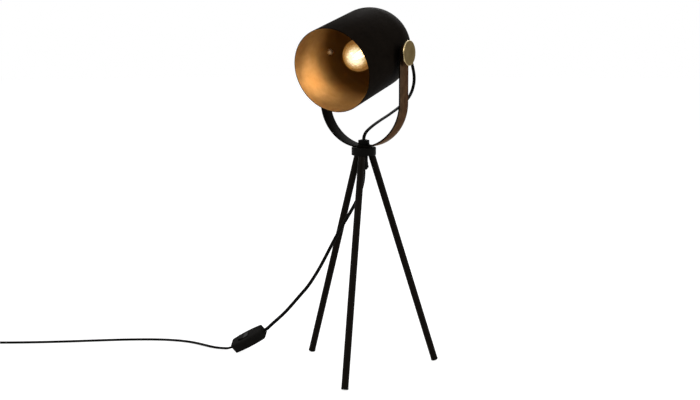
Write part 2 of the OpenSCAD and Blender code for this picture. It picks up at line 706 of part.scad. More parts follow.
module bulb_filaments() {
    color([1, 0.75, 0.3]) at_shade() for (k = [0:3])
        rotate([0, 0, 45 + 90 * k]) translate([5.2, 0, filament_from]) rotate([0, -5, 0])
            cylinder(h = filament_len, r = 0.8);
}

// Switch, with its lower end at the origin and +X up along it
module switch_plan(inset) {
    intersection() {
        translate([switch_len / 2, 0])
            round_rect(switch_len - 2 * inset, switch_w - 2 * inset, switch_corner - inset);
        translate([switch_len / 2, switch_side_r - switch_w / 2]) circle(switch_side_r - inset, $fn = 240);
        translate([switch_len / 2, switch_w / 2 - switch_side_r]) circle(switch_side_r - inset, $fn = 240);
    }
}
switch_edge = 3.5;
module switch_form(inset) {
    w = switch_w - 2 * inset;
    h = switch_h - inset;
    edge = switch_edge - inset;
    intersection() {
        translate([0, 0, inset]) linear_extrude(switch_h - 2 * inset) switch_plan(inset);
        rotate([90, 0, 90]) translate([0, 0, -1]) linear_extrude(switch_len + 2) union() {
            translate([-w / 2, -1]) square([w, h + 1 - edge]);
            translate([-w / 2 + edge, -1]) square([w - 2 * edge, h + 1]);
            for (side = [-1, 1]) translate([side * (w / 2 - edge), h - edge]) circle(edge);
        }
    }
}
switch_mid = switch_h / 2;
rocker_z = switch_h - 2.8;
pin_r = 1;
rocker_post_t = 2;
rocker_post_y = rocker_w / 2 + 0.4 + rocker_post_t / 2;
screw_r = 1.4;
screw_head_r = 2.7;
screw_places = [[9, -5.8], [switch_len - 9, 5.8]];
module switch_cord_holes() {
    translate([-1, 0, switch_mid]) rotate([0, 90, 0]) cylinder(h = switch_len + 2, r = cuff_r - 0.7 + fit);
}
module switch_base() {
    color([0.06, 0.058, 0.055]) at_switch() difference() {
        union() {
            difference() {
                switch_form(0);
                switch_form(switch_wall);
                translate([-1, -switch_w, switch_mid]) cube([switch_len + 2, 2 * switch_w, switch_h]);
            }
            for (p = screw_places) translate([p[0], p[1], 1])
                cylinder(h = switch_mid - 1, r = screw_head_r + 0.2);
        }
        switch_cord_holes();
        for (p = screw_places) translate([p[0], p[1], -1]) {
            cylinder(h = switch_h, r = screw_r + fit);
            cylinder(h = 3, r = screw_head_r + fit);
        }
    }
}
module switch_cover() {
    slot_len = rocker_len + 1.8;
    slot_w = rocker_w + 0.8;
    color([0.07, 0.068, 0.065]) at_switch() difference() {
        union() {
            difference() {
                switch_form(0);
                switch_form(switch_wall);
            }
            intersection() {
                switch_form(switch_wall / 2);
                union() {
                    for (p = screw_places) translate([p[0], p[1], 0]) cylinder(h = switch_h, r = screw_head_r);
                    for (side = [-1, 1]) translate([rocker_at, side * rocker_post_y, switch_h / 2 + 2.5])
                        cube([5, rocker_post_t, switch_h - 5], center = true);
                }
            }
        }
        translate([-1, -switch_w, -1]) cube([switch_len + 2, 2 * switch_w, switch_mid + 1]);
        translate([rocker_at - slot_len / 2, -slot_w / 2, switch_mid]) cube([slot_len, slot_w, switch_h]);
        translate([rocker_at, 0, rocker_z]) rotate([90, 0, 0])
            cylinder(h = 2 * rocker_post_y + 2 * rocker_post_t, r = pin_r + fit, center = true);
        switch_cord_holes();
        for (p = screw_places) translate([p[0], p[1], 0]) cylinder(h = switch_h - 2, r = screw_r + fit);
    }
}
rocker_throw = 8;
module switch_rocker() {
    half = rocker_len / 2;
    color([0.05, 0.05, 0.05]) at_switch() translate([rocker_at, 0, rocker_z]) rotate([0, rocker_throw, 0])
        difference() {
            rotate([90, 0, 0]) linear_extrude(rocker_w, center = true)
                polygon([[-half, -0.5], [-half, 4.4], [-half + 0.8, 5.2], [0, 3.6], [half - 0.8, 5.2],
                    [half, 4.4], [half, -0.5], [3, -2.6], [-3, -2.6]]);
            rotate([90, 0, 0]) cylinder(h = rocker_w + 2, r = pin_r + fit, center = true);
        }
}
module rocker_pin() {
    color([0.6, 0.6, 0.6]) at_switch() translate([rocker_at, 0, rocker_z]) rotate([90, 0, 0])
        cylinder(h = 2 * rocker_post_y + rocker_post_t - 0.2, r = pin_r, center = true);
}
module switch_screws() {
    color([0.6, 0.6, 0.6]) at_switch() for (p = screw_places) translate([p[0], p[1], 0]) difference() {
        union() {
            ring(screw_r, 1.9, switch_mid + 4);
            ring(screw_head_r, 0.4, 2);
        }
        translate([0, 0, 0.4]) {
            cube([3.6, 0.7, 1.4], center = true);
            cube([0.7, 3.6, 1.4], center = true);
        }
    }
}
module switch_terminals() {
    color([0.75, 0.6, 0.3]) at_switch() for (x = [13.5, switch_len - 14.5])
        translate([x, 0, switch_wall + 2.2]) difference() {
            cube([5, 7, 4.4], center = true);
            rotate([0, 90, 0]) cylinder(h = 8, r = 1.1, center = true);
        }
}
module switch_cuffs() {
    color([0.05, 0.05, 0.05]) at_switch() for (end = [[0, 90], [switch_len, -90]])
        translate([end[0], 0, switch_mid]) rotate([0, end[1], 0]) difference() {
            union() {
                ring(cuff_r, -cuff_out, 0);
                ring(cuff_r - 0.7, 0, switch_wall + 1);
                ring(cuff_r + 0.4, switch_wall + 0.1, switch_wall + 1.3);
            }
            translate([0, 0, -cuff_out - 1]) cylinder(h = 12, r = cord_hole_r);
        }
}

// Flex, coil and plug
module flex_upper() {
    color([0.05, 0.05, 0.05])
        flex_along(flex_upper_route, [sin(flex_turn), cos(flex_turn), 0], cord_t / 2, cord_r);
}
module flex_lower() {
    color([0.05, 0.05, 0.05]) flex_along(flex_lower_route, [0, 0, 1], cord_t / 2, cord_r);
}
module flex_coil() {
    color([0.05, 0.05, 0.05]) flex_along(coil_route, [0, 0, 1], cord_t / 2, cord_r, 6);
}
module flex_end() {
    color([0.05, 0.05, 0.05]) flex_along(flex_end_route, [0, 0, 1], cord_t / 2, cord_r);
}
module coil_tie() {
    tie_t = 0.55;
    tie_w = 8;
    tie_turn = 215;
    passes = [for (k = [0:coil_turns - 1]) let (t = k + (tie_turn - coil_start) / 360)
        coil_r - coil_pitch * min(t, coil_turns - t)];
    inner = min(passes) - cord_r - 0.5;
    outer = max(passes) + cord_r + 0.5;
    height = coil_base + coil_rise + cord_t / 2 + 0.4 - tie_t;
    color([0.04, 0.04, 0.04]) translate([coil_x, coil_y, 0]) rotate([0, 0, tie_turn])
        translate([(inner + outer) / 2, tie_w / 2, tie_t + height / 2]) rotate([90, 0, 0])
            linear_extrude(tie_w) difference() {
                round_rect(outer - inner + 2 * tie_t, height + 2 * tie_t, 2.2 + tie_t);
                round_rect(outer - inner, height, 2.2);
            }
}
module plug_body() {
    shoulder = plug_len * 0.42;
    rear_w = 13;
    rear_t = 10;
    color([0.06, 0.06, 0.06]) at_plug() difference() {
        intersection() {
            translate([0, plug_t, 0]) rotate([90, 0, 0]) linear_extrude(2 * plug_t)
                polygon([[-plug_w / 2 + 1.5, plug_len], [plug_w / 2 - 1.5, plug_len], [plug_w / 2, plug_len - 1.5],
                    [plug_w / 2, plug_len - shoulder], [rear_w / 2, 1.5], [rear_w / 2 - 1.5, 0],
                    [1.5 - rear_w / 2, 0], [-rear_w / 2, 1.5], [-plug_w / 2, plug_len - shoulder],
                    [-plug_w / 2, plug_len - 1.5]]);
            translate([-plug_w, 0, 0]) rotate([90, 0, 90]) linear_extrude(2 * plug_w)
                polygon([[-plug_t / 2, plug_len - 1], [-plug_t / 2 + 1, plug_len], [plug_t / 2 - 1, plug_len],
                    [plug_t / 2, plug_len - 1], [plug_t / 2, plug_len - shoulder], [rear_t / 2, 1],
                    [rear_t / 2 - 1, 0], [1 - rear_t / 2, 0], [-rear_t / 2, 1],
                    [-plug_t / 2, plug_len - shoulder]]);
        }
        for (side = [-1, 1]) translate([side * pin_gap / 2, 0, plug_len - pin_root_len - 0.5])
                cylinder(h = pin_root_len + 1, r = pin_root_r + fit);
    }
}
module plug_relief() {
    low = cord_r + 0.7;
    high = cord_r + 1.9;
    ribs = 5;
    step = relief_len / (ribs + 1);
    color([0.05, 0.05, 0.05]) at_plug() rotate_extrude() {
        polygon([[0, -relief_len], [low - 0.3, -relief_len], [high - 0.5, 0], [0, 0]]);
        for (k = [0:ribs]) translate([0, -relief_len + step * k])
            square([low + (high - low) * (k + 0.5) / (ribs + 1), step * 0.55]);
    }
}
sleeve_len = 10;
sleeve_wall = 0.5;
sleeve_step = 0.2;
pin_root_len = 8;
pin_root_r = pin_d / 2 - sleeve_wall - fit;
module plug_pins() {
    round_end = 1;
    color([0.75, 0.65, 0.4]) at_plug() for (side = [-1, 1])
        translate([side * pin_gap / 2, 0, plug_len]) rotate_extrude() {
            translate([0, -pin_root_len]) square([pin_root_r, pin_root_len]);
            square([pin_d / 2 - sleeve_wall - fit, sleeve_len]);
            translate([0, sleeve_len]) square([pin_d / 2, pin_len - sleeve_len - round_end]);
            square([pin_d / 2 - round_end, pin_len]);
            translate([pin_d / 2 - round_end, pin_len - round_end]) intersection() {
                circle(round_end);
                square(round_end);
            }
        }
}
module plug_sleeves() {
    color([0.05, 0.05, 0.05]) at_plug() for (side = [-1, 1])
        translate([side * pin_gap / 2, 0, plug_len])
            ring(pin_d / 2 - sleeve_step, 0, sleeve_len, pin_d / 2 - sleeve_wall);
}

hub();
leg_right();
leg_left();
leg_front();
leg_inserts();
leg_studs();
foot_caps();
stem();
slip_washer();
top_washer();
top_nut();
stem_bush();
cord_grip();
grip_screw();
stem_cord();
yoke();
knob_washers();
head_cord();
shade();
pivot_spacers();
pivot_studs();
pivot_nuts();
shade_washer();
shade_grip();
holder_nipple();
holder_cap();
lamp_holder();
holder_contact();
holder_terminals();
holder_lead();
bulb_glass();
bulb_cap();
bulb_insulator();
bulb_contact();
bulb_mount();
bulb_filaments();
knob_right();
knob_left();
flex_upper();
switch_base();
switch_cover();
switch_rocker();
rocker_pin();
switch_screws();
switch_terminals();
switch_cuffs();
flex_lower();
flex_coil();
coil_tie();
flex_end();
plug_body();
plug_relief();
plug_pins();
plug_sleeves();
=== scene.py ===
"""Dresses the tripod table lamp: bucket shade, strap yoke, tube legs, flex, switch and plug.

Sizes inside the classes are in millimetres. Each piece is moved to its place and scaled to metres as
its mesh is made.
"""

from __future__ import annotations

import json
import logging
from dataclasses import dataclass, field
from enum import Enum
from math import acos, atan2, copysign, cos, degrees, hypot, radians, sin, sqrt, tau
from typing import Callable, Iterable, Sequence

import bmesh
import bpy
from mathutils import Matrix, Vector

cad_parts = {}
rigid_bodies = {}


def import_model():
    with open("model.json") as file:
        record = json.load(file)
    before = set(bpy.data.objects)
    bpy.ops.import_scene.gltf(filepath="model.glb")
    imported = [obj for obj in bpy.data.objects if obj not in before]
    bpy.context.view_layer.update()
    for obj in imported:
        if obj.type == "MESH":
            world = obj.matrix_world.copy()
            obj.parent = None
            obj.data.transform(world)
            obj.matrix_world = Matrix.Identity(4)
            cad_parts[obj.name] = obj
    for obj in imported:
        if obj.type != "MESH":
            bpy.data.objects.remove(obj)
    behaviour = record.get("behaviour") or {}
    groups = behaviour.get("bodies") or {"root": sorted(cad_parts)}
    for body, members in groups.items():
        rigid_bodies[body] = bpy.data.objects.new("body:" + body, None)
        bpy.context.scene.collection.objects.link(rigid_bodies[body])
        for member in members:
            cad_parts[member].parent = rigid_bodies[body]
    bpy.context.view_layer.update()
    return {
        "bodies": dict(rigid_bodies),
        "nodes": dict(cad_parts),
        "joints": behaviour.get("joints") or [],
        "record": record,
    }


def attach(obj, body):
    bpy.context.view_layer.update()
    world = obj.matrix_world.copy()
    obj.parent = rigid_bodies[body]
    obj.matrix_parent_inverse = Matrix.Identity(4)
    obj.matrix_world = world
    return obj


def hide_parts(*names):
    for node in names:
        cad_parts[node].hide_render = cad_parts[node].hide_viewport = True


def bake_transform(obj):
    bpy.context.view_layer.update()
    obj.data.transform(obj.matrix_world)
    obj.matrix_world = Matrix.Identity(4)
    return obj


LOG = logging.getLogger("lamp")
MM = 0.001
# Places closer than this many millimetres count as one
NEAR = 0.01
Colour = tuple[float, float, float]
Place = tuple[float, float, float]
Looks = dict[str, bpy.types.Material]
Vert, Edge = bmesh.types.BMVert, bmesh.types.BMEdge

# Nodes whose shape is right as packed, under the finish that each gets
KEPT = {
    "hub_paint": ("top_washer",),
    "moulded_plastic": (
        "switch_base", "switch_cuffs", "slip_washer", "stem_bush", "grip_screw", "pivot_spacers",
        "shade_grip", "holder_cap", "bulb_insulator", "plug_body", "plug_relief", "plug_sleeves", "coil_tie"),
    "polished_plastic": ("switch_rocker",),
    "flex_sheath": ("stem_cord", "holder_lead"),
    "bright_steel": (
        "rocker_pin", "switch_screws", "leg_inserts", "leg_studs", "stem", "knob_washers", "pivot_studs",
        "shade_washer"),
    "dull_plate": ("pivot_nuts",),
    "nickel_plate": ("bulb_cap", "bulb_contact"),
    "plain_brass": ("switch_terminals", "holder_nipple", "holder_contact", "holder_terminals", "plug_pins"),
    "stem_glass_clear": ("bulb_mount",),
    "filament_glow": ("bulb_filaments",),
}


def turned(axis: str, angle: float) -> Matrix:
    """A turn by an angle in degrees round one axis."""
    return Matrix.Rotation(radians(angle), 4, axis)


def moved(x: float, y: float, z: float) -> Matrix:
    """A move by x, y and z millimetres."""
    return Matrix.Translation((x, y, z))


def only(items: Iterable[object], kind: type) -> list:
    """The items of one kind."""
    return [item for item in items if isinstance(item, kind)]


def added(name: str, data: bpy.types.ID) -> bpy.types.Object:
    """Makes an object and links it to the scene.

    Args:
        name: Its name.
        data: Its mesh, light or camera.

    Returns:
        The object.
    """
    made = bpy.data.objects.new(name, data)
    bpy.context.scene.collection.objects.link(made)
    return made


@dataclass(frozen=True)
class Layout:
    """Places that several sub-assemblies share, in millimetres and degrees."""

    pivot_z: float = 457.55
    swing: float = 30.0
    tilt: float = 14.6
    shade_radius: float = 58.6
    shade_mouth: float = 106.6
    pivot_ahead: float = 17.0
    hub_bottom: float = 312.8
    hub_top: float = 324.0
    leg_turn: float = 16.3
    leg_from: float = 11.6
    leg_spread: float = 99.2
    flex_turn: float = 20.3
    flex_half_width: float = 2.5
    flex_half_thickness: float = 1.6
    switch_far: float = 212.6
    switch_lift: float = 8.58
    switch_pitch: float = 30.0
    switch_roll: float = 27.0
    switch_height: float = 14.5
    switch_length: float = 58.0
    plug_place: Place = (-684.0, 50.0, 6.85)

    def yoke(self) -> Matrix:
        """Frame of the yoke: X along the pivot."""
        return turned("Z", -self.swing)

    def head(self) -> Matrix:
        """Frame of the tilted head, with its origin on the pivot."""
        return moved(0, 0, self.pivot_z) @ turned("Z", -self.swing) @ turned("X", self.tilt)

    def shade(self) -> Matrix:
        """Frame of the shade: +Z to its mouth, origin at the centre of the dome."""
        return self.head() @ moved(0, self.pivot_ahead, 0) @ turned("X", 90)

    def leg(self, turn: float) -> Matrix:
        """Frame of a leg: +Z down along it, origin at the underside of the hub."""
        tilt = degrees(atan2(self.leg_spread, self.hub_bottom))
        return turned("Z", turn) @ moved(self.leg_from, 0, self.hub_bottom) @ turned("Y", 180 - tilt)

    def switch(self) -> Matrix:
        """Frame of the switch: +X up along it, origin under the lower end of its centre line."""
        line = turned("Z", -self.flex_turn) @ moved(-self.switch_far, 0, self.switch_lift)
        turns = turned("Y", -self.switch_pitch) @ turned("X", self.switch_roll)
        return line @ turns @ moved(0, 0, -self.switch_height / 2)

    def hung(self, out: float, up: float) -> Vector:
        """A point of the upright plane that the flex hangs in, out from the axis and up from the table."""
        turn = radians(self.flex_turn)
        return Vector((-cos(turn) * out, sin(turn) * out, up))

    def along_switch(self, x: float) -> Vector:
        """A point of the centre line of the switch, counted from its lower end."""
        pitch = radians(self.switch_pitch)
        return self.hung(self.switch_far - cos(pitch) * x, self.switch_lift + sin(pitch) * x)

    def behind(self, out: float, up: float) -> Vector:
        """A point of the upright plane of the shade, behind the lamp's axis and up from the table."""
        turn = radians(self.swing)
        return Vector((sin(turn) * out, cos(turn) * out, up))

    def shade_line(self, z: float) -> Vector:
        """A point of the shade's centre line, counted from the centre of its dome."""
        reach, tilt = self.pivot_ahead - z, radians(self.tilt)
        return self.behind(cos(tilt) * reach, self.pivot_z + sin(tilt) * reach)


LAYOUT = Layout()


class Slot(Enum):
    """Names of the record's material slots; no piece here is given one."""

    PAINT = "black_paint"
    STRAP = "bronze_strap"
    KNOB = "antique_brass"
    PLASTIC = "black_plastic"
    FLEX = "flex_sheath"
    GLASS = "lamp_glass"


class Graph:
    """Builds the nodes of one material or node group."""

    def __init__(self, tree: bpy.types.NodeTree) -> None:
        """Starts an empty tree."""
        self.tree = tree
        tree.nodes.clear()

    def node(self, kind: str, sockets: dict[str | int, object] | None = None,
             **settings: object) -> bpy.types.Node:
        """Adds a shader node.

        Args:
            kind: The node's type, without its ShaderNode prefix.
            sockets: Values or output sockets for its inputs, by name or number.
            settings: The node's own settings.

        Returns:
            The node.
        """
        made = self.tree.nodes.new("ShaderNode" + kind)
        for name, value in settings.items():
            setattr(made, name, value)
        for name, value in (sockets or {}).items():
            self.feed(made.inputs[name], value)
        return made

    def feed(self, socket: bpy.types.NodeSocket, value: object) -> None:
        """Gives an input a value, or links an output to it.

        Args:
            socket: The input.
            value: A number, vector, colour or output socket.
        """
        if isinstance(value, bpy.types.NodeSocket):
            self.tree.links.new(value, socket)
        elif isinstance(value, tuple) and len(value) == 3 and socket.type == "RGBA":
            socket.default_value = (*value, 1.0)
        else:
            socket.default_value = value

    def mix(self, factor: object, first: object, second: object) -> bpy.types.NodeSocket:
        """A colour between two others, the first at factor 0 and the second at factor 1."""
        return self.node("Mix", {0: factor, 6: first, 7: second}, data_type="RGBA").outputs[2]

    def spread(self, value: object, low: float, high: float, to_low: object = 0.0,
               to_high: object = 1.0) -> bpy.types.NodeSocket:
        """Maps a value from one range to another, clamped."""
        return self.node("MapRange", {0: value, 1: low, 2: high, 3: to_low, 4: to_high}).outputs[0]

    def maths(self, operation: str, first: object, second: object = 0.0) -> bpy.types.NodeSocket:
        """One step of arithmetic."""
        return self.node("Math", {0: first, 1: second}, operation=operation).outputs[0]

    def noise(self, vector: object, scale: object, detail: float = 2.0,
              roughness: float = 0.5) -> bpy.types.NodeSocket:
        """Values about 0.5 that wander through space."""
        sockets = {"Vector": vector, "Scale": scale, "Detail": detail, "Roughness": roughness}
        return self.node("TexNoise", sockets).outputs[0]

    def within(self, frame: Matrix | None) -> bpy.types.NodeSocket:
        """The object's own coordinates, in metres, read in a frame where one is given.

        Args:
            frame: The frame in millimetres, or None for the lamp's own.

        Returns:
            The coordinates.
        """
        own = self.node("TexCoord").outputs["Object"]
        if frame is None:
            return own
        origin, turn, _ = frame.decompose()
        sockets = {"Vector": own, "Location": tuple(origin * MM), "Rotation": tuple(turn.to_euler())}
        return self.node("Mapping", sockets, vector_type="TEXTURE").outputs[0]


class Pattern(Enum):
    """Shared patterns, each a node group of the same sockets."""

    MOULDED = "moulded_grain"
    BRUSHED = "brushed_lines"
    RINGS = "turned_rings"

    def group(self) -> bpy.types.NodeTree:
        """The pattern's node group, which is built once.

        Returns:
            The group.
        """
        found = bpy.data.node_groups.get(self.value)
        if found:
            return found
        tree = bpy.data.node_groups.new(self.value, "ShaderNodeTree")
        given = {"Vector": "Vector", "Scale": "Float", "Low Colour": "Color", "High Colour": "Color",
                 "Low Roughness": "Float", "High Roughness": "Float"}
        wanted = {"Colour": "Color", "Roughness": "Float", "Height": "Float"}
        for way, sockets in (("INPUT", given), ("OUTPUT", wanted)):
            for name, kind in sockets.items():
                tree.interface.new_socket(name, in_out=way, socket_type="NodeSocket" + kind)
        graph = Graph(tree)
        got = tree.nodes.new("NodeGroupInput").outputs
        fine, broad = self.masks(graph, got["Vector"], got["Scale"])
        put_out = tree.nodes.new("NodeGroupOutput").inputs
        graph.feed(put_out["Colour"], graph.mix(broad, got["Low Colour"], got["High Colour"]))
        roughness = graph.spread(fine, 0.0, 1.0, got["Low Roughness"], got["High Roughness"])
        graph.feed(put_out["Roughness"], roughness)
        graph.feed(put_out["Height"], fine)
        return tree

    def masks(self, graph: Graph, vector: object, scale: object) -> tuple[object, object]:
        """The fine and the broad mask of a pattern, from 0 to 1.

        Args:
            graph: The group's graph.
            vector: Where the pattern is read.
            scale: Number of fine features in a metre.

        Returns:
            The two masks.
        """
        wide = graph.maths("MULTIPLY", scale, 0.04)
        if self is Pattern.BRUSHED:
            drawn = graph.node("Mapping", {"Vector": vector, "Scale": (0.02, 1.0, 1.0)}).outputs[0]
            lines = graph.noise(drawn, graph.maths("MULTIPLY", scale, 0.25), 3.0)
            both = graph.maths("MULTIPLY", lines, graph.noise(vector, wide, 3.0))
            return graph.noise(drawn, scale, 4.0, 0.7), graph.spread(both, 0.12, 0.4)
        if self is Pattern.MOULDED:
            fine, broad = graph.noise(vector, scale, 3.0, 0.6), graph.noise(vector, wide, 4.0, 0.55)
        else:
            parts = graph.node("SeparateXYZ", {0: vector}).outputs
            squares = [graph.maths("MULTIPLY", parts[axis], parts[axis]) for axis in (0, 1)]
            across = graph.maths("SQRT", graph.maths("ADD", *squares))
            rings = {"W": across, "Scale": scale, "Detail": 4.0, "Roughness": 0.7}
            fine = graph.node("TexNoise", rings, noise_dimensions="1D").outputs[0]
            broad = graph.noise(vector, wide, 4.0)
        return fine, graph.spread(broad, 0.3, 0.7)


def blank(name: str) -> tuple[bpy.types.Material, Graph]:
    """Makes a material without nodes.

    Args:
        name: Its name.

    Returns:
        The material, and the graph that its nodes are made with.
    """
    material = bpy.data.materials.new(name)
    material.use_nodes = True
    return material, Graph(material.node_tree)


@dataclass(frozen=True)
class Finish:
    """One surface finish: two tones, a roughness that wanders between two values, and a low relief."""

    name: str
    low: Colour
    high: Colour
    roughness: tuple[float, float]
    metallic: float = 0.0
    specular: float = 0.5
    pattern: Pattern = Pattern.MOULDED
    scale: float = 1500.0
    relief: float = 0.00002
    on_uv: bool = False
    edge: Colour = (1.0, 1.0, 1.0)
    frame: Matrix | None = None

    def tone(self, graph: Graph, colour: bpy.types.NodeSocket,
             place: bpy.types.NodeSocket) -> bpy.types.NodeSocket:
        """Lets a finish change its colour further over the piece."""
        return colour

    def make(self) -> bpy.types.Material:
        """Makes the material.

        Returns:
            A material with the pattern's node group in it.
        """
        material, graph = blank(self.name)
        place = graph.node("TexCoord").outputs["UV"] if self.on_uv else graph.within(self.frame)
        group = graph.node("Group", node_tree=self.pattern.group())
        given = {"Vector": place, "Scale": self.scale, "Low Colour": self.low, "High Colour": self.high,
                 "Low Roughness": self.roughness[0], "High Roughness": self.roughness[1]}
        for name, value in given.items():
            graph.feed(group.inputs[name], value)
        height = group.outputs["Height"]
        bump = graph.node("Bump", {"Height": height, "Distance": self.relief, "Strength": 1.0})
        shader = graph.node("BsdfPrincipled", {
            "Base Color": self.tone(graph, group.outputs["Colour"], place),
            "Roughness": group.outputs["Roughness"], "Metallic": self.metallic, "Normal": bump.outputs[0],
            "Specular IOR Level": self.specular, "Specular Tint": self.edge})
        graph.node("OutputMaterial", {"Surface": shader.outputs[0]})
        material.diffuse_color = (*self.high, 1.0)
        return material


@dataclass(frozen=True)
class GoldLining(Finish):
    """Gold paint inside the shade, with painted shade that makes it dull and brown towards the bottom of the
    bucket.
    """

    # Colour of the painted shade at the bottom of the bucket, and the heights between which it fades out
    deep: Colour = (0.11, 0.05, 0.01)
    painted_shade_full_z: float = 20.0
    painted_shade_end_z: float = 106.0

    def tone(self, graph: Graph, colour: bpy.types.NodeSocket,
             place: bpy.types.NodeSocket) -> bpy.types.NodeSocket:
        """Paints shade over the paint towards the dome."""
        depth = graph.node("SeparateXYZ", {0: place}).outputs[2]
        return graph.mix(graph.spread(depth, self.painted_shade_full_z * MM, self.painted_shade_end_z * MM), self.deep, colour)


@dataclass(frozen=True)
class Glass:
    """Clear glass that lets the light of the filaments out, with a glow in three tones."""

    name: str
    colour: Colour
    core: Colour = (0.0, 0.0, 0.0)
    halo: Colour = (0.0, 0.0, 0.0)
    rim: Colour = (0.0, 0.0, 0.0)
    tip_z: float = 54.3
    back_z: float = 26.2
    mottle: float = 0.4
    halo_from: tuple[float, float] = (0.34, 0.66)
    rim_from: tuple[float, float] = (0.66, 0.95)

    def glow(self, graph: Graph, place: object, noise: object) -> bpy.types.NodeSocket:
        """The glow's colour: strongest where the glass is seen straight on and near its tip.

        Args:
            graph: The material's graph.
            place: The coordinates in the frame of the shade.
            noise: A value that mottles the edges of the tones.

        Returns:
            The colour, black but for the camera's own rays.
        """
        facing = graph.node("LayerWeight", {"Blend": 0.5}).outputs["Facing"]
        height = graph.node("SeparateXYZ", {0: place}).outputs[2]
        behind = graph.spread(height, self.tip_z * MM, self.back_z * MM)
        mottle = graph.maths("MULTIPLY", noise, self.mottle)
        away = graph.maths("ADD", graph.maths("ADD", facing, behind), mottle)
        inner = graph.mix(graph.spread(away, *self.halo_from), self.core, self.halo)
        whole = graph.mix(graph.spread(away, *self.rim_from), inner, self.rim)
        return graph.mix(graph.node("LightPath").outputs["Is Camera Ray"], (0.0, 0.0, 0.0), whole)

    def make(self) -> bpy.types.Material:
        """Makes the material.

        Returns:
            A material that casts no shadow.
        """
        material, graph = blank(self.name)
        place = graph.within(LAYOUT.shade())
        noise = graph.noise(place, 380.0, 3.0)
        bump = graph.node("Bump", {"Height": noise, "Distance": 0.00003, "Strength": 0.25})
        shader = graph.node("BsdfPrincipled", {
            "Base Color": self.colour, "Roughness": 0.02, "Metallic": 0.0, "Transmission Weight": 1.0,
            "IOR": 1.45, "Normal": bump.outputs[0], "Emission Color": self.glow(graph, place, noise),
            "Emission Strength": 1.0})
        clear = graph.node("BsdfTransparent")
        shadow = graph.node("LightPath").outputs["Is Shadow Ray"]
        both = graph.node("MixShader", {0: shadow, 1: shader.outputs[0], 2: clear.outputs[0]})
        graph.node("OutputMaterial", {"Surface": both.outputs[0]})
        material.diffuse_color = (*self.colour, 0.4)
        return material


@dataclass(frozen=True)
class Glow:
    """A hot filament, whose light is uneven along it."""

    name: str
    colour: Colour
    strength: float
    dimmest: float = 0.8

    def make(self) -> bpy.types.Material:
        """Makes the material.

        Returns:
            A material that shines.
        """
        material, graph = blank(self.name)
        noise = graph.noise(graph.within(None), 900.0)
        dim = tuple(self.dimmest * part for part in self.colour)
        tone = graph.mix(graph.spread(noise, 0.3, 0.7), dim, self.colour)
        shader = graph.node("BsdfPrincipled", {
            "Base Color": tone, "Roughness": 0.6, "Emission Color": tone, "Emission Strength": self.strength})
        graph.node("OutputMaterial", {"Surface": shader.outputs[0]})
        return material


def finishes() -> Looks:
    """Makes every finish of the lamp once, in the frame that its pattern lies in.

    Returns:
        The materials by name.
    """
    shade, knob = LAYOUT.shade(), LAYOUT.head() @ turned("Y", 90)
    black = (0.0056, 0.0042, 0.0031), (0.0084, 0.0063, 0.0046)
    recipes = (
        Finish("shade_paint", *black, (0.42, 0.55), specular=0.003, scale=2200.0, relief=0.000012,
               frame=shade),
        # The lining carries painted shade that darkens it towards the dome
        GoldLining("gold_lining", (0.56, 0.33, 0.12), (0.7, 0.43, 0.17), (0.3, 0.38), metallic=0.75,
                   edge=(0.95, 0.68, 0.38), scale=2600.0, relief=0.00001, frame=shade),
        Finish("leg_paint", *black, (0.34, 0.46), specular=0.02, scale=2200.0, relief=0.00001),
        Finish("hub_paint", (0.0048, 0.0043, 0.0039), (0.0066, 0.006, 0.0055), (0.32, 0.44), specular=0.015,
               pattern=Pattern.RINGS, scale=2500.0, relief=0.000008),
        Finish("bronze_strap", (0.03, 0.018, 0.0105), (0.08, 0.048, 0.029), (0.36, 0.5), metallic=0.9,
               edge=(0.5, 0.4, 0.3), pattern=Pattern.BRUSHED, scale=2500.0, relief=0.000015, on_uv=True),
        Finish("strap_edge", (0.0036, 0.0028, 0.0022), (0.006, 0.0046, 0.0036), (0.45, 0.6), specular=0.004,
               scale=1800.0),
        Finish("knob_face", (0.085, 0.06, 0.028), (0.135, 0.098, 0.05), (0.3, 0.42), metallic=1.0,
               edge=(0.8, 0.72, 0.56), pattern=Pattern.RINGS, scale=1800.0, frame=knob),
        # The knob's rim: brass rubbed bright, lightened further as a painted highlight
        Finish("knob_rim", (0.34, 0.25, 0.12), (0.52, 0.41, 0.22), (0.2, 0.32), metallic=1.0,
               relief=0.000008),
        Finish("moulded_plastic", (0.008, 0.0074, 0.0066), (0.0125, 0.0117, 0.0105), (0.4, 0.56),
               specular=0.006, scale=2600.0, relief=0.00003),
        Finish("polished_plastic", (0.0032, 0.003, 0.0026), (0.005, 0.0047, 0.004), (0.24, 0.34),
               specular=0.05, scale=900.0, relief=0.000006),
        Finish("flex_sheath", (0.0032, 0.003, 0.0026), (0.0058, 0.0053, 0.0046), (0.4, 0.54), specular=0.02,
               scale=1400.0),
        Finish("bright_steel", (0.38, 0.37, 0.36), (0.52, 0.51, 0.49), (0.22, 0.34), metallic=1.0,
               scale=1800.0, relief=0.000008),
        Finish("dull_plate", (0.7, 0.6, 0.48), (0.84, 0.74, 0.6), (0.22, 0.32), metallic=0.95,
               edge=(0.8, 0.66, 0.48)),
        Finish("nickel_plate", (0.5, 0.47, 0.41), (0.62, 0.59, 0.53), (0.2, 0.3), metallic=1.0,
               relief=0.000006),
        Finish("plain_brass", (0.5, 0.34, 0.12), (0.66, 0.48, 0.2), (0.24, 0.36), metallic=1.0,
               relief=0.000008),
        Glass("bulb_glass_clear", (1.0, 0.93, 0.8), core=(1.25, 1.12, 0.74), halo=(0.52, 0.32, 0.12),
              rim=(0.18, 0.085, 0.022)),
        Glass("stem_glass_clear", (1.0, 0.95, 0.85)),
        Glow("filament_glow", (1.0, 0.7, 0.32), 3.0),
    )
    return {recipe.name: recipe.make() for recipe in recipes}


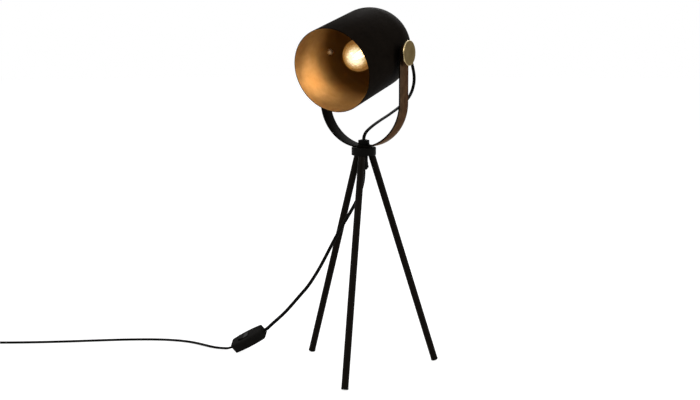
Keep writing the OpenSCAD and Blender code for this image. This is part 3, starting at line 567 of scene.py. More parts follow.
class Turned:
    """A turned piece: a half profile of radius and height, drawn point by point and spun round its axis."""

    def __init__(self, radius: float, height: float) -> None:
        """Starts the profile at its first point."""
        self.bm = bmesh.new()
        self.first = self.last = self.bm.verts.new((radius, 0, height))

    def to(self, radius: float, height: float) -> Turned:
        """Draws a straight line to a point."""
        self.last = bmesh.ops.extrude_vert_indiv(self.bm, verts=[self.last])["verts"][0]
        self.last.co = (radius, 0, height)
        return self

    def path(self, points: Sequence[tuple[float, float]]) -> Turned:
        """Draws straight lines through points."""
        for point in points:
            self.to(*point)
        return self

    def arc(self, radius: float, height: float, angle: float, steps: int) -> Turned:
        """Draws an arc round a centre.

        Args:
            radius: The centre's distance from the axis.
            height: The centre's height.
            angle: Degrees from the axis's right towards its top.
            steps: Number of parts.

        Returns:
            The profile itself.
        """
        made = bmesh.ops.spin(self.bm, geom=[self.last], cent=(radius, 0, height), axis=(0, -1, 0),
                              angle=radians(angle), steps=steps, use_duplicate=False)
        self.last = only(made["geom_last"], Vert)[0]
        return self

    def close(self) -> Turned:
        """Joins the last point to the first."""
        self.bm.edges.new((self.last, self.first))
        return self

    def spin(self, steps: int) -> bmesh.types.BMesh:
        """Spins the profile round its axis.

        Args:
            steps: Number of parts of the round.

        Returns:
            A closed surface whose faces point outwards.
        """
        geometry = [*self.bm.verts, *self.bm.edges]
        bmesh.ops.spin(self.bm, geom=geometry, cent=(0, 0, 0), axis=(0, 0, 1), angle=tau, steps=steps,
                       use_merge=True)
        bmesh.ops.remove_doubles(self.bm, verts=self.bm.verts, dist=0.001)
        bmesh.ops.recalc_face_normals(self.bm, faces=self.bm.faces)
        return self.bm


def prism(outline: Sequence[tuple[float, float]], low: float, high: float) -> bmesh.types.BMesh:
    """Pulls an outline up from one height to another.

    Args:
        outline: Corners in the XY plane, anticlockwise.
        low: Height of its underside.
        high: Height of its top.

    Returns:
        A closed mesh.
    """
    bm = bmesh.new()
    face = bm.faces.new([bm.verts.new((x, y, low)) for x, y in outline])
    top = bmesh.ops.extrude_face_region(bm, geom=[face])["geom"]
    bmesh.ops.translate(bm, verts=only(top, Vert), vec=(0, 0, high - low))
    bmesh.ops.recalc_face_normals(bm, faces=bm.faces)
    return bm


def tube(place: Matrix, radius: float, low: float, high: float) -> bmesh.types.BMesh:
    """A round bar along the Z of a frame.

    Args:
        place: The frame.
        radius: The bar's radius.
        low: Where it starts on Z.
        high: Where it ends on Z.

    Returns:
        A closed mesh.
    """
    bm = bmesh.new()
    bmesh.ops.create_cone(bm, cap_ends=True, segments=48, radius1=radius, radius2=radius, depth=high - low,
                          matrix=place @ moved(0, 0, (low + high) / 2))
    return bm


def soften(bm: bmesh.types.BMesh, width: float, segments: int = 2, over: float = 35.0,
           where: Callable[[bmesh.types.BMEdge], bool] = lambda edge: True) -> None:
    """Rounds the edges that are sharper than an angle.

    Args:
        bm: The mesh.
        width: How far the rounding reaches from the edge.
        segments: Its number of parts.
        over: The angle in degrees.
        where: Further choice among the edges.
    """
    sharp = [e for e in bm.edges if e.is_manifold and degrees(e.calc_face_angle(0)) > over and where(e)]
    bmesh.ops.bevel(bm, geom=sharp, offset=width, offset_type="OFFSET", segments=segments, affect="EDGES",
                    profile=0.5, material=-1, clamp_overlap=True)
    bmesh.ops.remove_doubles(bm, verts=bm.verts, dist=0.0005)


def sliced(bm: bmesh.types.BMesh, height: float, keep_below: bool) -> None:
    """Cuts a mesh level, keeps one side and closes the cut.

    Args:
        bm: The mesh.
        height: Height of the cut.
        keep_below: Whether the lower side stays, rather than the upper one.
    """
    made = bmesh.ops.bisect_plane(bm, geom=[*bm.verts, *bm.edges, *bm.faces], plane_co=(0, 0, height),
                                  plane_no=(0, 0, 1 if keep_below else -1), clear_outer=True)
    bmesh.ops.contextual_create(bm, geom=only(made["geom_cut"], Edge))
    bmesh.ops.recalc_face_normals(bm, faces=bm.faces)


def mesh_of(bm: bmesh.types.BMesh, name: str) -> bpy.types.Mesh:
    """Turns a bmesh, which is used up, into a mesh.

    Args:
        bm: The bmesh.
        name: The mesh's name.

    Returns:
        The mesh.
    """
    mesh = bpy.data.meshes.new(name)
    bm.to_mesh(mesh)
    bm.free()
    return mesh


def put(bm: bmesh.types.BMesh, name: str, body: str | None,
        looks: Sequence[bpy.types.Material], stands_for: Sequence[str], place: Matrix | None = None,
        flat_over: float = 32.0) -> bpy.types.Object:
    """Makes a mesh a piece of the lamp and reports it.

    Args:
        bm: The mesh, in millimetres. It is used up.
        name: The piece's name.
        body: The body that it rides on, if it rides on one.
        looks: Its materials, in the order of the faces' numbers.
        stands_for: The nodes that it replaces.
        place: Where it goes.
        flat_over: Angle between faces in degrees from which their edge stays sharp.

    Returns:
        The object.
    """
    bmesh.ops.transform(bm, matrix=Matrix.Scale(MM, 4) @ (place or Matrix.Identity(4)), verts=bm.verts)
    for face in bm.faces:
        face.smooth = True
    for edge in bm.edges:
        edge.smooth = not edge.is_manifold or degrees(edge.calc_face_angle(0)) < flat_over
    piece = added(name, mesh_of(bm, name))
    for look in looks:
        piece.data.materials.append(look)
    if body:
        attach(piece, body)
    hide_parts(*stands_for)
    LOG.info("%s, for %s", name, ", ".join(stands_for))
    return piece


def dress(frame: dict, finish: bpy.types.Material, nodes: Sequence[str]) -> None:
    """Gives nodes whose shape is right a better material.

    Args:
        frame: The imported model.
        finish: The material.
        nodes: Names of the nodes.
    """
    for name in nodes:
        for socket in frame["nodes"][name].material_slots:
            socket.link = "OBJECT"
            socket.material = finish
        LOG.info("%s keeps its shape", name)


def refined(points: Sequence[Vector], parts: int) -> list[Vector]:
    """A smooth route through points.

    Args:
        points: The points.
        parts: Number of parts that each stretch between two points gets.

    Returns:
        The points of the route.
    """
    whole = [2 * points[0] - points[1], *points, 2 * points[-1] - points[-2]]
    made = []
    for a, b, c, d in zip(whole, whole[1:], whole[2:], whole[3:]):
        rise, bend, twist = c - a, 2 * a - 5 * b + 4 * c - d, 3 * b - a - 3 * c + d
        for part in range(parts):
            t = part / parts
            made.append(0.5 * (2 * b + rise * t + bend * t * t + twist * t ** 3))
    return [*made, Vector(points[-1])]


def flat_run(route: Sequence[Vector], aside: Vector, across: float, along: float,
             sides: int = 20) -> bmesh.types.BMesh:
    """Draws the round-edged section of a flat flex along a route.

    Args:
        route: The middle of each ring.
        aside: A direction that the route never runs along.
        across: Half the section towards that direction.
        along: Half the section square to it.
        sides: Corners of a ring.

    Returns:
        A closed mesh.
    """
    least = min(across, along)
    section = []
    for corner in range(sides):
        c, s = cos((corner + 0.5) * tau / sides), sin((corner + 0.5) * tau / sides)
        section.append((least * c + copysign(across - least, c), least * s + copysign(along - least, s)))
    bm = bmesh.new()
    verts = bmesh.ops.create_circle(bm, cap_ends=True, segments=sides, radius=1.0)["verts"]
    ring = list(bm.edges)
    for number, middle in enumerate(route):
        heading = (route[min(number + 1, len(route) - 1)] - route[max(number - 1, 0)]).normalized()
        v = heading.cross(aside).normalized()
        u = v.cross(heading)
        if number:
            made = bmesh.ops.extrude_edge_only(bm, edges=ring)["geom"]
            fresh, ring = set(only(made, Vert)), only(made, Edge)
            verts = [next(e.other_vert(w) for e in w.link_edges if e.other_vert(w) in fresh) for w in verts]
        for vert, (a, b) in zip(verts, section):
            vert.co = middle + a * u + b * v
    bmesh.ops.contextual_create(bm, geom=ring)
    bmesh.ops.recalc_face_normals(bm, faces=bm.faces)
    return bm


@dataclass
class Stage:
    """Camera, floor, world and lamps, in metres."""

    camera_place: Place = (0.0, -1.547, 0.4954)
    camera_pitch: float = 80.9
    lens: float = 56.15
    sensor: float = 36.0
    shift: float = -0.0197
    fill: float = 0.42
    floor_radius: float = 9.0
    floor_z: float = -0.0002
    floor_glow: float = 0.8
    aim: Place = (0.0, 0.0, 0.3)
    softboxes: tuple[tuple[str, Place, tuple[float, float], float], ...] = (
        ("softbox_left", (-1.5, -1.1, 1.3), (0.7, 1.4), 16.0),
        ("softbox_right", (1.7, -0.6, 1.1), (0.6, 1.4), 14.0),
        ("softbox_back", (0.5, 1.7, 1.5), (1.2, 0.8), 14.0),
    )

    def camera(self) -> None:
        """Places the camera at the photograph's angle."""
        data = bpy.data.cameras.new("camera")
        data.lens, data.sensor_width, data.shift_x = self.lens, self.sensor, self.shift
        data.clip_start, data.clip_end = 0.02, 50.0
        seen = added("camera", data)
        seen.location = self.camera_place
        seen.rotation_euler = (radians(self.camera_pitch), 0.0, 0.0)
        bpy.context.scene.camera = seen

    @staticmethod
    def shown(graph: Graph) -> bpy.types.NodeSocket:
        """1 for a ray from the camera, a glossy surface or glass."""
        path = graph.node("LightPath").outputs
        glossy = graph.maths("MAXIMUM", path["Is Camera Ray"], path["Is Glossy Ray"])
        return graph.maths("MAXIMUM", glossy, path["Is Transmission Ray"])

    def world(self) -> None:
        """A white surround that gives a weaker, even light."""
        world = bpy.data.worlds.new("studio")
        bpy.context.scene.world = world
        world.use_nodes = True
        graph = Graph(world.node_tree)
        strength = graph.spread(self.shown(graph), 0.0, 1.0, self.fill, 1.0)
        back = graph.node("Background", {"Color": (1.0, 1.0, 1.0), "Strength": strength})
        graph.node("OutputWorld", {"Surface": back.outputs[0]})

    def floor(self) -> None:
        """A plain pale floor that keeps the lamp's shadow."""
        bm = bmesh.new()
        bmesh.ops.create_circle(bm, cap_ends=True, segments=64, radius=self.floor_radius)
        plane = added("floor", mesh_of(bm, "floor"))
        plane.location.z = self.floor_z
        material, graph = blank("floor_pale")
        shade = graph.node("BsdfDiffuse", {"Color": (0.5, 0.5, 0.5)})
        glow = graph.maths("MULTIPLY", self.shown(graph), self.floor_glow)
        light = graph.node("Emission", {"Color": (1.0, 1.0, 1.0), "Strength": glow})
        both = graph.node("AddShader", {0: shade.outputs[0], 1: light.outputs[0]})
        graph.node("OutputMaterial", {"Surface": both.outputs[0]})
        plane.data.materials.append(material)

    def lamps(self) -> None:
        """Soft boxes on both sides and behind."""
        for name, place, size, power in self.softboxes:
            light = bpy.data.lights.new(name, "AREA")
            light.shape = "RECTANGLE"
            light.size, light.size_y = size
            light.energy = power
            made = added(name, light)
            made.location = place
            made.rotation_euler = (Vector(self.aim) - Vector(place)).to_track_quat("-Z", "Y").to_euler()

    def build(self) -> None:
        """Makes the whole stage, the camera first."""
        bpy.context.scene.view_settings.view_transform = "Standard"
        self.camera()
        self.world()
        self.floor()
        self.lamps()


@dataclass
class Flexes:
    """The mains flex with its coil, and the cord to the shade."""

    looks: Looks
    hang: tuple[tuple[float, float], ...] = (
        (0, 291.8), (0, 285), (1.2, 274), (4.6, 261), (10, 248), (17, 235), (25, 221.5), (33.5, 207.5),
        (42, 193), (50.5, 177.5), (59, 161.5), (68, 145), (78, 128.5), (89, 112.5), (102, 97.3),
        (114.5, 82.8), (126, 70), (135.5, 60.9), (144.3, 52.8), (150.6, 46.9), (155.6, 42.2))
    drop: tuple[tuple[float, float], ...] = ((5.4, 5.8), (9.2, 4.5), (13.2, 3.7), (18, 3.4))
    lie: tuple[Place, ...] = (
        (-222.5, 81.6, 1.7), (-229.3, 84.9, 1.5), (-236.2, 89.8, 1.2), (-244, 96.4, 0.9),
        (-252.5, 103.8, 0.6), (-261, 110.8, 0.3), (-270, 117.2, 0.1), (-281, 122.8, 0), (-294, 127.4, 0),
        (-310, 131, 0), (-328, 133.2, 0), (-348, 133.8, 0), (-372, 133, 0), (-396, 131, 0),
        (-420, 128.2, 0), (-446, 125, 0), (-472, 122, 0), (-498, 119.5, 0), (-524, 117.6, 0),
        (-550, 116.4, 0), (-576, 116, 0), (-602, 116, 0))
    tail: tuple[Place, ...] = (
        (-643, 115.7, 6.2), (-653.6, 113.6, 6.3), (-663.5, 109, 6.4), (-672, 102.4, 6.5), (-678.6, 93.6, 6.6),
        (-682.6, 84, 6.8))
    rise_from: float = 334.9
    rise: tuple[tuple[float, float], ...] = (
        (0, 0), (0, 0.8), (0.6, 3.4), (2.5, 6.4), (5.8, 9.3), (10.6, 11.9), (17, 14.4), (24, 16.8),
        (34, 19.8), (51, 24.3), (67, 28.1), (82, 32.1), (97, 36.3), (112, 41.1), (126, 46.5), (138.5, 53.3),
        (148, 62.3), (153.6, 73.5), (153.8, 85.1), (149.2, 97.1), (142.4, 109.3), (135.2, 120.9),
        (127.4, 131.7), (119, 141.1), (111.2, 146.3), (103.2, 148.1))
    cuff: float = 2.0
    inside: float = 6.0
    lead: tuple[float, float] = (10.0, 5.0)
    relief: tuple[float, float] = (27.0, 22.0)
    shade_entry: tuple[float, float] = (-81.4, -73.5)
    bend_from: Place = (0.0, 0.0, 0.347)
    bend_to: Place = (0.0, 0.0, 0.48)
    coil_place: tuple[float, float] = (-624.0, 82.0)
    coil_radius: float = 34.0
    coil_pitch: float = 5.6
    coil_base: float = 2.3
    coil_rise: float = 3.7
    coil_turns: int = 5
    loop_steps: int = 24

    def coil_point(self, t: float) -> Vector:
        """A point of the coil, which spirals in, climbs a layer and spirals out again.

        Args:
            t: Turns from its start.

        Returns:
            The point.
        """
        u = min(1.0, max(0.0, (t - self.coil_turns / 2) * 2 + 0.5))
        radius = self.coil_radius - self.coil_pitch * min(t, self.coil_turns - t)
        angle = radians(90 + 360 * t)
        x, y = self.coil_place
        climb = self.coil_rise * u * u * (3 - 2 * u)
        return Vector((x + radius * cos(angle), y + radius * sin(angle), self.coil_base + climb))

    def upper(self) -> list[Vector]:
        """Route from the hub down into the switch."""
        top = LAYOUT.switch_length
        route = [LAYOUT.hung(*point) for point in self.hang]
        return route + [LAYOUT.along_switch(top + self.cuff), LAYOUT.along_switch(top - self.inside)]

    def lower(self) -> list[Vector]:
        """Route from the switch over the table, round the coil and to the plug.

        Returns:
            The points of the route.
        """
        x, y = self.coil_place
        top, high = y + self.coil_radius, self.coil_base + self.coil_rise
        route = [LAYOUT.along_switch(self.inside), LAYOUT.along_switch(-self.cuff)]
        route += [LAYOUT.hung(LAYOUT.switch_far + out, up) for out, up in self.drop]
        route += [Vector((px, py, LAYOUT.flex_half_thickness + up)) for px, py, up in self.lie]
        route += [Vector((x + reach, top, self.coil_base)) for reach in self.lead]
        steps = self.coil_turns * self.loop_steps
        route += [self.coil_point(step / self.loop_steps) for step in range(steps + 1)]
        route += [Vector((x - reach, top, high)) for reach in reversed(self.lead)]
        px, py, pz = LAYOUT.plug_place
        return route + [Vector(p) for p in self.tail] + [Vector((px, py + back, pz)) for back in self.relief]

    def shade_cord(self) -> list[Vector]:
        """Route from the stem to the back of the shade."""
        rising = [LAYOUT.behind(out, self.rise_from + up) for out, up in self.rise]
        return rising + [LAYOUT.shade_line(z) for z in self.shade_entry]

    def build(self) -> None:
        wide, thin = LAYOUT.flex_half_width, LAYOUT.flex_half_thickness
        turn, swing = radians(LAYOUT.flex_turn), radians(LAYOUT.swing)
        upper = self.laid("flex_to_switch", "root", refined(self.upper(), 4),
                          Vector((sin(turn), cos(turn), 0)), (thin, wide), ["flex_upper"])
        lower = self.laid("flex_to_plug", "root", refined(self.lower(), 2), Vector((0, 0, 1)), (thin, wide),
                          ["flex_lower", "flex_coil", "flex_end"])
        cord = self.laid("shade_cord", None, refined(self.shade_cord(), 4),
                         Vector((cos(swing), -sin(swing), 0)), (wide, thin), ["head_cord"])
        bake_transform(cord[0])
        self.declare(*upper, "fitting", ["switch_base", "switch_lid", "switch_rocker", "switch_cuffs"])
        self.declare(*lower, "plug", ["plug_body", "plug_relief", "plug_pins", "plug_sleeves", "coil_tie"],
                     lay="coiled")
        self.declare(*cord, "object")

    def laid(self, name: str, body: str | None, route: list[Vector], aside: Vector,
             half: tuple[float, float], nodes: Sequence[str]) -> tuple[bpy.types.Object, list[Vector]]:
        """Makes one flex.

        Args:
            name: The piece's name.
            body: The body that it rides on, if it rides on one.
            route: The middles of its rings.
            aside: Direction that the section is set out from.
            half: Half the section towards that direction and square to it.
            nodes: The nodes that it replaces.

        Returns:
            The piece and its route.
        """
        run = flat_run(route, aside, *half)
        return put(run, name, body, [self.looks["flex_sheath"]], nodes), route

    @staticmethod
    def declare(piece: bpy.types.Object, route: Sequence[Vector], far_end: str, pieces: Sequence[str] = (),
                **more: str) -> None:
        """Takes a cord, its route, its far end and the pieces that it carries, and does nothing with them.

        Args:
            piece: The cord. Not used.
            route: Its middle line. Not used.
            far_end: What its far end is. Not used.
            pieces: The pieces that it carries. Not used.
        """


@dataclass
class Tripod:
    """Hub, three legs with their caps, nut on the yoke and cord grip."""

    looks: Looks
    hub_radius: float = 17.5
    hub_bore: float = 5.0
    hub_edge: float = 0.7
    leg_radius: float = 5.0
    leg_length: float = 324.74
    leg_above: float = 10.0
    cap_radius: float = 5.2
    cap_length: float = 2.5
    cap_edge: float = 1.15
    nut_flats: float = 14.0
    nut_low: float = 328.3
    nut_high: float = 334.3
    nut_edge: float = 0.5
    grip_low: float = 291.8
    grip_neck: float = 5.8
    grip_radius: float = 6.4
    grip_mouth: float = 4.75
    grip_bore: float = 3.3
    grip_widens: tuple[float, float] = (9.5, 11.5)
    grip_narrows: tuple[float, float] = (4.5, 2.0)
    grip_depth: float = 6.0
    grip_edge: float = 0.35
    legs: dict[str, float] = field(
        default_factory=lambda: {"leg_right": 0.0, "leg_left": 120.0, "leg_front": 240.0})

    def hub(self) -> None:
        """The turned hub."""
        low, high, out, bore = LAYOUT.hub_bottom, LAYOUT.hub_top, self.hub_radius, self.hub_bore
        bm = Turned(bore, low).path([(out, low), (out, high), (bore, high)]).close().spin(96)
        soften(bm, self.hub_edge, 3)
        put(bm, "hub_disc", "root", [self.looks["hub_paint"]], ["hub"])

    def leg(self, name: str, turn: float) -> None:
        """One leg and its cap, cut level at the hub and at the table.

        Args:
            name: The leg's node.
            turn: Degrees that it stands round the hub from the first leg.
        """
        place, foot = LAYOUT.leg(LAYOUT.leg_turn + turn), name.replace("leg", "foot")
        bar = tube(place, self.leg_radius, -self.leg_above, self.leg_length)
        sliced(bar, LAYOUT.hub_bottom, True)
        put(bar, name + "_tube", "root", [self.looks["leg_paint"]], [name])
        cap = tube(Matrix.Identity(4), self.cap_radius, self.leg_length, self.leg_length + self.cap_length)
        soften(cap, self.cap_edge, 5, where=lambda e: e.verts[0].co.z > self.leg_length + 1.0)
        bmesh.ops.transform(cap, matrix=place, verts=cap.verts)
        sliced(cap, 0.0, False)
        put(cap, foot, "root", [self.looks["moulded_plastic"]], ["foot_caps"])

    def nut(self) -> None:
        """The hexagon nut on the yoke, its top edges rounded more than the others."""
        corner = self.nut_flats / sqrt(3)
        outline = [(corner * cos(radians(turn)), corner * sin(radians(turn))) for turn in range(0, 360, 60)]
        bm = prism(outline, self.nut_low, self.nut_high)
        soften(bm, self.nut_edge, 2, where=lambda e: all(v.co.z > self.nut_high - 0.1 for v in e.verts))
        soften(bm, self.nut_edge / 2, 2)
        put(bm, "hexagon_nut", "root", [self.looks["hub_paint"]], ["top_nut"])

    def grip(self) -> None:
        """The cord grip under the hub."""
        top, low, neck, wide = LAYOUT.hub_bottom, self.grip_low, self.grip_neck, self.grip_radius
        bore, floor = self.grip_bore, self.grip_low + self.grip_depth
        (under, wider), (above, lower) = self.grip_widens, self.grip_narrows
        bm = Turned(0.0, top).path([
            (neck, top), (neck, top - under), (wide, top - wider), (wide, low + above), (neck, low + lower),
            (self.grip_mouth, low), (bore, low), (bore, floor), (0.0, floor)]).spin(64)
        soften(bm, self.grip_edge, 3)
        put(bm, "hub_cord_grip", "root", [self.looks["moulded_plastic"]], ["cord_grip"])

    def build(self) -> None:
        """Makes the pieces."""
        self.hub()
        for name, turn in self.legs.items():
            self.leg(name, turn)
        self.nut()
        self.grip()


@dataclass
class Yoke:
    """The strap bent to a U, with round ends at the pivot."""

    looks: Looks
    width: float = 24.4
    thick: float = 2.2
    outer: float = 64.7
    centre_z: float = 388.65
    bottom_z: float = 324.6
    edge: float = 0.3
    weld: float = 0.002

    def half(self) -> bmesh.types.BMesh:
        """The right half: flat foot, bend, arm and round end.

        Returns:
            A mesh that is open where it meets the left half.
        """
        bm = bmesh.new()
        w, inner = self.width / 2, self.outer - self.thick
        start = acos((self.centre_z - self.bottom_z) / self.outer)
        section = ((-w, 0), (w, 0), (w, self.thick), (-w, self.thick))
        around = [bm.verts.new((0, y, self.bottom_z + z)) for y, z in section]
        ring = [bm.edges.new(pair) for pair in zip(around, [*around[1:], around[0]])]
        ring, verts = self.pulled(bm, ring)
        for vert in verts:
            radius = self.outer if vert.co.z < self.bottom_z + 0.1 else inner
            vert.co = (radius * sin(start), vert.co.y, self.centre_z - radius * cos(start))
        spun = bmesh.ops.spin(bm, geom=[*ring, *verts], cent=(0, 0, self.centre_z), axis=(0, -1, 0),
                              angle=radians(90) - start, steps=26, use_duplicate=False)
        ring, verts = self.pulled(bm, only(spun["geom_last"], Edge))
        for vert in verts:
            vert.co.z = LAYOUT.pivot_z + w
        bmesh.ops.contextual_create(bm, geom=ring)
        tips = [e for e in ring if abs(e.verts[0].co.y - e.verts[1].co.y) < NEAR]
        bmesh.ops.bevel(bm, geom=tips, offset=w - NEAR, offset_type="OFFSET", segments=14, affect="EDGES",
                        profile=0.5, material=-1, clamp_overlap=False)
        return bm

    @staticmethod
    def pulled(bm: bmesh.types.BMesh, ring: Sequence[bmesh.types.BMEdge]) -> tuple[list, list]:
        """Extrudes a ring of edges and returns the new edges and corners."""
        made = bmesh.ops.extrude_edge_only(bm, edges=ring)["geom"]
        return only(made, Edge), only(made, Vert)

    def along(self, point: Vector) -> float:
        """Distance of a point along the strap from its middle."""
        if point.z > self.centre_z:
            return self.outer * radians(90) + point.z - self.centre_z
        return self.outer * atan2(abs(point.x), self.centre_z - point.z)

    def build(self) -> None:
        """Makes the strap, outer faces bronze and the rest dark."""
        bm = self.half()
        bmesh.ops.remove_doubles(bm, verts=bm.verts, dist=self.weld)
        bmesh.ops.mirror(bm, geom=[*bm.verts, *bm.edges, *bm.faces], axis="X", merge_dist=0.005)
        bmesh.ops.remove_doubles(bm, verts=bm.verts, dist=self.weld)
        bmesh.ops.recalc_face_normals(bm, faces=bm.faces)
        soften(bm, self.edge, 2, over=50)
        bm.normal_update()
        uv = bm.loops.layers.uv.new("strap")
        for face in bm.faces:
            centre = face.calc_center_median()
            out = Vector((centre.x, 0, min(0.0, centre.z - self.centre_z)))
            face.material_index = 0 if face.normal.dot(out.normalized()) > 0.8 else 1
            for loop in face.loops:
                side = 1 if loop.vert.co.x >= 0 else -1
                loop[uv].uv = (side * self.along(loop.vert.co) * MM, loop.vert.co.y * MM)
        looks = [self.looks["bronze_strap"], self.looks["strap_edge"]]
        put(bm, "strap", "yoke", looks, ["yoke"], LAYOUT.yoke())


@dataclass
class Head:
    """The shade and the knobs."""

    looks: Looks
    wall: float = 0.8
    apex_hole: float = 5.0
    lining_under: float = 0.65
    lining_short: float = 0.3
    rim_edge: float = 0.25
    knob_radius: float = 17.35
    knob_from: float = 70.9
    knob_to: float = 72.9
    # Width of the knob's bright rim, which is worn and carries a painted highlight
    knob_rim: float = 0.6
    boss_radius: float = 6.0
    boss_from: float = 65.6
    disc_edge: float = 0.5
    boss_edge: float = 0.3

    def shade(self) -> None:
        """The bucket: black outside, gold inside, with a thin dark rim."""
        outer, mouth = LAYOUT.shade_radius, LAYOUT.shade_mouth
        inner = outer - self.wall
        span, back = degrees(acos(self.apex_hole / outer)), degrees(acos(self.apex_hole / inner))
        profile = Turned(outer, mouth).to(outer, 0).arc(0, 0, -span, 30)
        profile.to(self.apex_hole, -inner * sin(radians(back))).arc(0, 0, back, 30).to(inner, mouth)
        bm = profile.close().spin(160)
        soften(bm, self.rim_edge, 2, over=60)
        for face in bm.faces:
            centre = face.calc_center_median()
            far = hypot(centre.x, centre.y) if centre.z > 0 else centre.length
            lined = far < outer - self.lining_under and centre.z < mouth - self.lining_short
            face.material_index = 1 if lined else 0
        looks = [self.looks["shade_paint"], self.looks["gold_lining"]]
        put(bm, "bucket", "head", looks, ["shade"], LAYOUT.shade())

    def knob(self, name: str, side: int) -> None:
        """A disc on a boss: dull ringed face, and a bright rim that is worn and carries a painted highlight.

        Args:
            name: The knob's node, which is its body too.
            side: 1 at the right arm, -1 at the left one.
        """
        r, low, high = self.knob_radius, self.knob_from, self.knob_to
        boss, start = self.boss_radius, self.boss_from
        bm = Turned(0.0, start).path([(boss, start), (boss, low), (r, low), (r, high), (0.0, high)]).spin(96)
        soften(bm, self.disc_edge, 4, where=lambda e: e.verts[0].co.z > low - 0.1)
        soften(bm, self.boss_edge, 2, over=60)
        for face in bm.faces:
            # Faces near the edge get the worn brass with its painted highlight
            face.material_index = 1 if face.calc_center_median().xy.length > r - self.knob_rim else 0
        looks = [self.looks["knob_face"], self.looks["knob_rim"]]
        put(bm, name + "_disc", name, looks, [name], LAYOUT.head() @ turned("Y", 90 * side))

    def build(self) -> None:
        """Makes the pieces."""
        self.shade()
        self.knob("knob_right", 1)
        self.knob("knob_left", -1)


@dataclass
class Bulb:
    """Lamp holder and bulb, with the light that the filaments give."""

    looks: Looks
    globe: float = 22.5
    ahead: float = 31.8
    neck: float = 6.2
    neck_from: float = -3.2
    foot: float = -23.7
    glass: float = 0.8
    holder_radius: float = 14.0
    holder_low: float = -37.7
    holder_mouth: float = -1.7
    holder_step: float = 1.85
    holder_lip: float = 4.0
    holder_wall: float = 3.65
    holder_edge: float = 0.5
    bore: float = 7.7
    bore_below: float = 3.0
    lead_bore: float = 2.0
    lead_below: float = 5.5
    power: float = 0.14
    light_colour: Colour = (1.0, 0.84, 0.66)
    light_radius: float = 8.0

    def shoulder(self, radius: float, foot: float) -> float:
        """Angle in degrees at which a straight line from the neck touches a circle round the globe's centre.

        Args:
            radius: Radius of the circle.
            foot: The line's distance from the axis at the neck.

        Returns:
            The angle, counted from the axis's right.
        """
        below = self.neck_from - self.ahead
        return degrees(atan2(below, foot) + acos(radius / hypot(foot, below)))

    def envelope(self) -> None:
        """The glass: neck, tangent shoulder and globe, in one closed wall."""
        low, middle = self.neck_from - 1, self.ahead
        inner, inner_neck = self.globe - self.glass, self.neck - self.glass
        turn, inner_turn = self.shoulder(self.globe, self.neck), self.shoulder(inner, inner_neck)
        profile = Turned(self.neck, low).to(self.neck, self.neck_from)
        profile.to(self.globe * cos(radians(turn)), middle + self.globe * sin(radians(turn)))
        profile.arc(0, middle, 90 - turn, 36).to(0, middle + inner).arc(0, middle, inner_turn - 90, 36)
        bm = profile.to(inner_neck, self.neck_from).to(inner_neck, low).close().spin(96)
        gap = [face for face in bm.faces if face.calc_center_median().xy.length < NEAR]
        bmesh.ops.delete(bm, geom=gap, context="FACES")
        bmesh.ops.delete(bm, geom=[e for e in bm.edges if not e.link_faces], context="EDGES")
        looks = [self.looks["bulb_glass_clear"]]
        put(bm, "globe_glass", "bulb", looks, ["bulb_glass"], LAYOUT.shade(), flat_over=60)

    def holder(self) -> None:
        """The moulded body with its deep round mouth."""
        r, low, mouth = self.holder_radius, self.holder_low, self.holder_mouth
        bore, lead, lip = self.bore, self.lead_bore, low - self.holder_lip
        floor, below = self.foot - self.bore_below, self.foot - self.lead_below
        step, skirt = r - self.holder_step, r - self.holder_wall
        bm = Turned(step, lip).path([
            (step, low), (r, low), (r, mouth), (bore, mouth), (bore, floor), (lead, floor), (lead, below),
            (skirt, below), (skirt, lip)]).close().spin(80)
        soften(bm, self.holder_edge, 3)
        looks = [self.looks["moulded_plastic"]]
        put(bm, "holder_body", "head", looks, ["lamp_holder"], LAYOUT.shade())

    def light(self) -> None:
        """The warm light inside the globe, which moves with the head."""
        light = bpy.data.lights.new("bulb_light", "POINT")
        light.energy, light.color = self.power, self.light_colour
        light.shadow_soft_size = self.light_radius * MM
        made = added("bulb_light", light)
        made.location = (LAYOUT.shade() @ Vector((0, 0, self.ahead))) * MM
        made.visible_transmission = False
        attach(made, "head")

    def build(self) -> None:
        """Makes the pieces and lights the bulb."""
        self.envelope()
        self.holder()
        self.light()


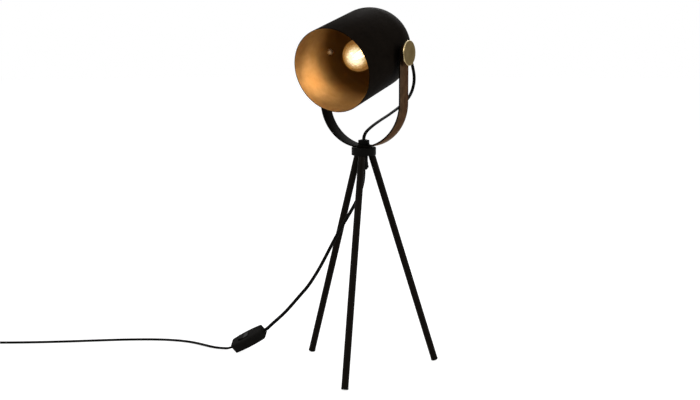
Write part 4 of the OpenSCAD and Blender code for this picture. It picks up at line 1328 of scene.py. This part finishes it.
@dataclass
class Switch:
    """The lid of the in-line rocker switch."""

    looks: Looks
    width: float = 25.0
    corner: float = 7.5
    side_radius: float = 150.0
    edge: float = 3.5
    rocker_at: float = 25.0
    slot: tuple[float, float] = (19.2, 10.4)
    pocket_floor: float = 0.2

    def reach(self, x: float) -> float:
        """Half the switch's width.

        Args:
            x: Distance from its lower end.

        Returns:
            The half width there.
        """
        half, near = self.width / 2, min(x, LAYOUT.switch_length - x)
        side = sqrt(self.side_radius ** 2 - (x - LAYOUT.switch_length / 2) ** 2) - self.side_radius + half
        if near >= self.corner:
            return side
        return min(side, half - self.corner + sqrt(self.corner ** 2 - (self.corner - near) ** 2))

    def plan(self) -> list[tuple[float, float]]:
        """The outline of the switch from above.

        Returns:
            Its corners, anticlockwise.
        """
        middle = LAYOUT.switch_length / 2
        first = [self.corner * (1 - cos(radians(angle))) for angle in range(0, 91, 9)]
        first += [self.corner + (middle - self.corner) * part / 6 for part in range(1, 7)]
        along = first + [2 * middle - x for x in reversed(first[:-1])]
        return [(x, -self.reach(x)) for x in along] + [(x, self.reach(x)) for x in reversed(along)]

    def build(self) -> None:
        """The upper half, rounded along its whole top edge, with a pocket for the rocker."""
        low, high, middle = LAYOUT.switch_height / 2, LAYOUT.switch_height, self.rocker_at
        bm = prism(self.plan(), low, high)
        soften(bm, self.edge, 5, where=lambda e: min(v.co.z for v in e.verts) > high - NEAR)
        half_long, half_wide = self.slot[0] / 2, self.slot[1] / 2
        for x, y in ((middle - half_long, 0), (middle + half_long, 0), (0, -half_wide), (0, half_wide)):
            bmesh.ops.bisect_plane(bm, geom=[*bm.verts, *bm.edges, *bm.faces], plane_co=(x, y, 0),
                                   plane_no=(1, 0, 0) if x else (0, 1, 0), dist=0.0001)
        pocket = []
        for face in bm.faces:
            centre = face.calc_center_median()
            if centre.z > high - NEAR and abs(centre.x - middle) < half_long and abs(centre.y) < half_wide:
                pocket.append(face)
        made = bmesh.ops.extrude_face_region(bm, geom=pocket)["geom"]
        bmesh.ops.translate(bm, verts=only(made, Vert), vec=(0, 0, low - high + self.pocket_floor))
        bmesh.ops.delete(bm, geom=pocket, context="FACES_ONLY")
        bmesh.ops.recalc_face_normals(bm, faces=bm.faces)
        looks = [self.looks["moulded_plastic"]]
        put(bm, "switch_lid", "root", looks, ["switch_cover"], LAYOUT.switch())


def main() -> None:
    """Builds the lamp in order, the switch before the flexes."""
    logging.basicConfig(level=logging.INFO, format="%(message)s")
    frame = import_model()
    Stage().build()
    looks = finishes()
    for part in (Switch, Flexes, Tripod, Yoke, Head, Bulb):
        part(looks).build()
    for finish, nodes in KEPT.items():
        dress(frame, looks[finish], nodes)


if __name__ == "__main__":
    main()
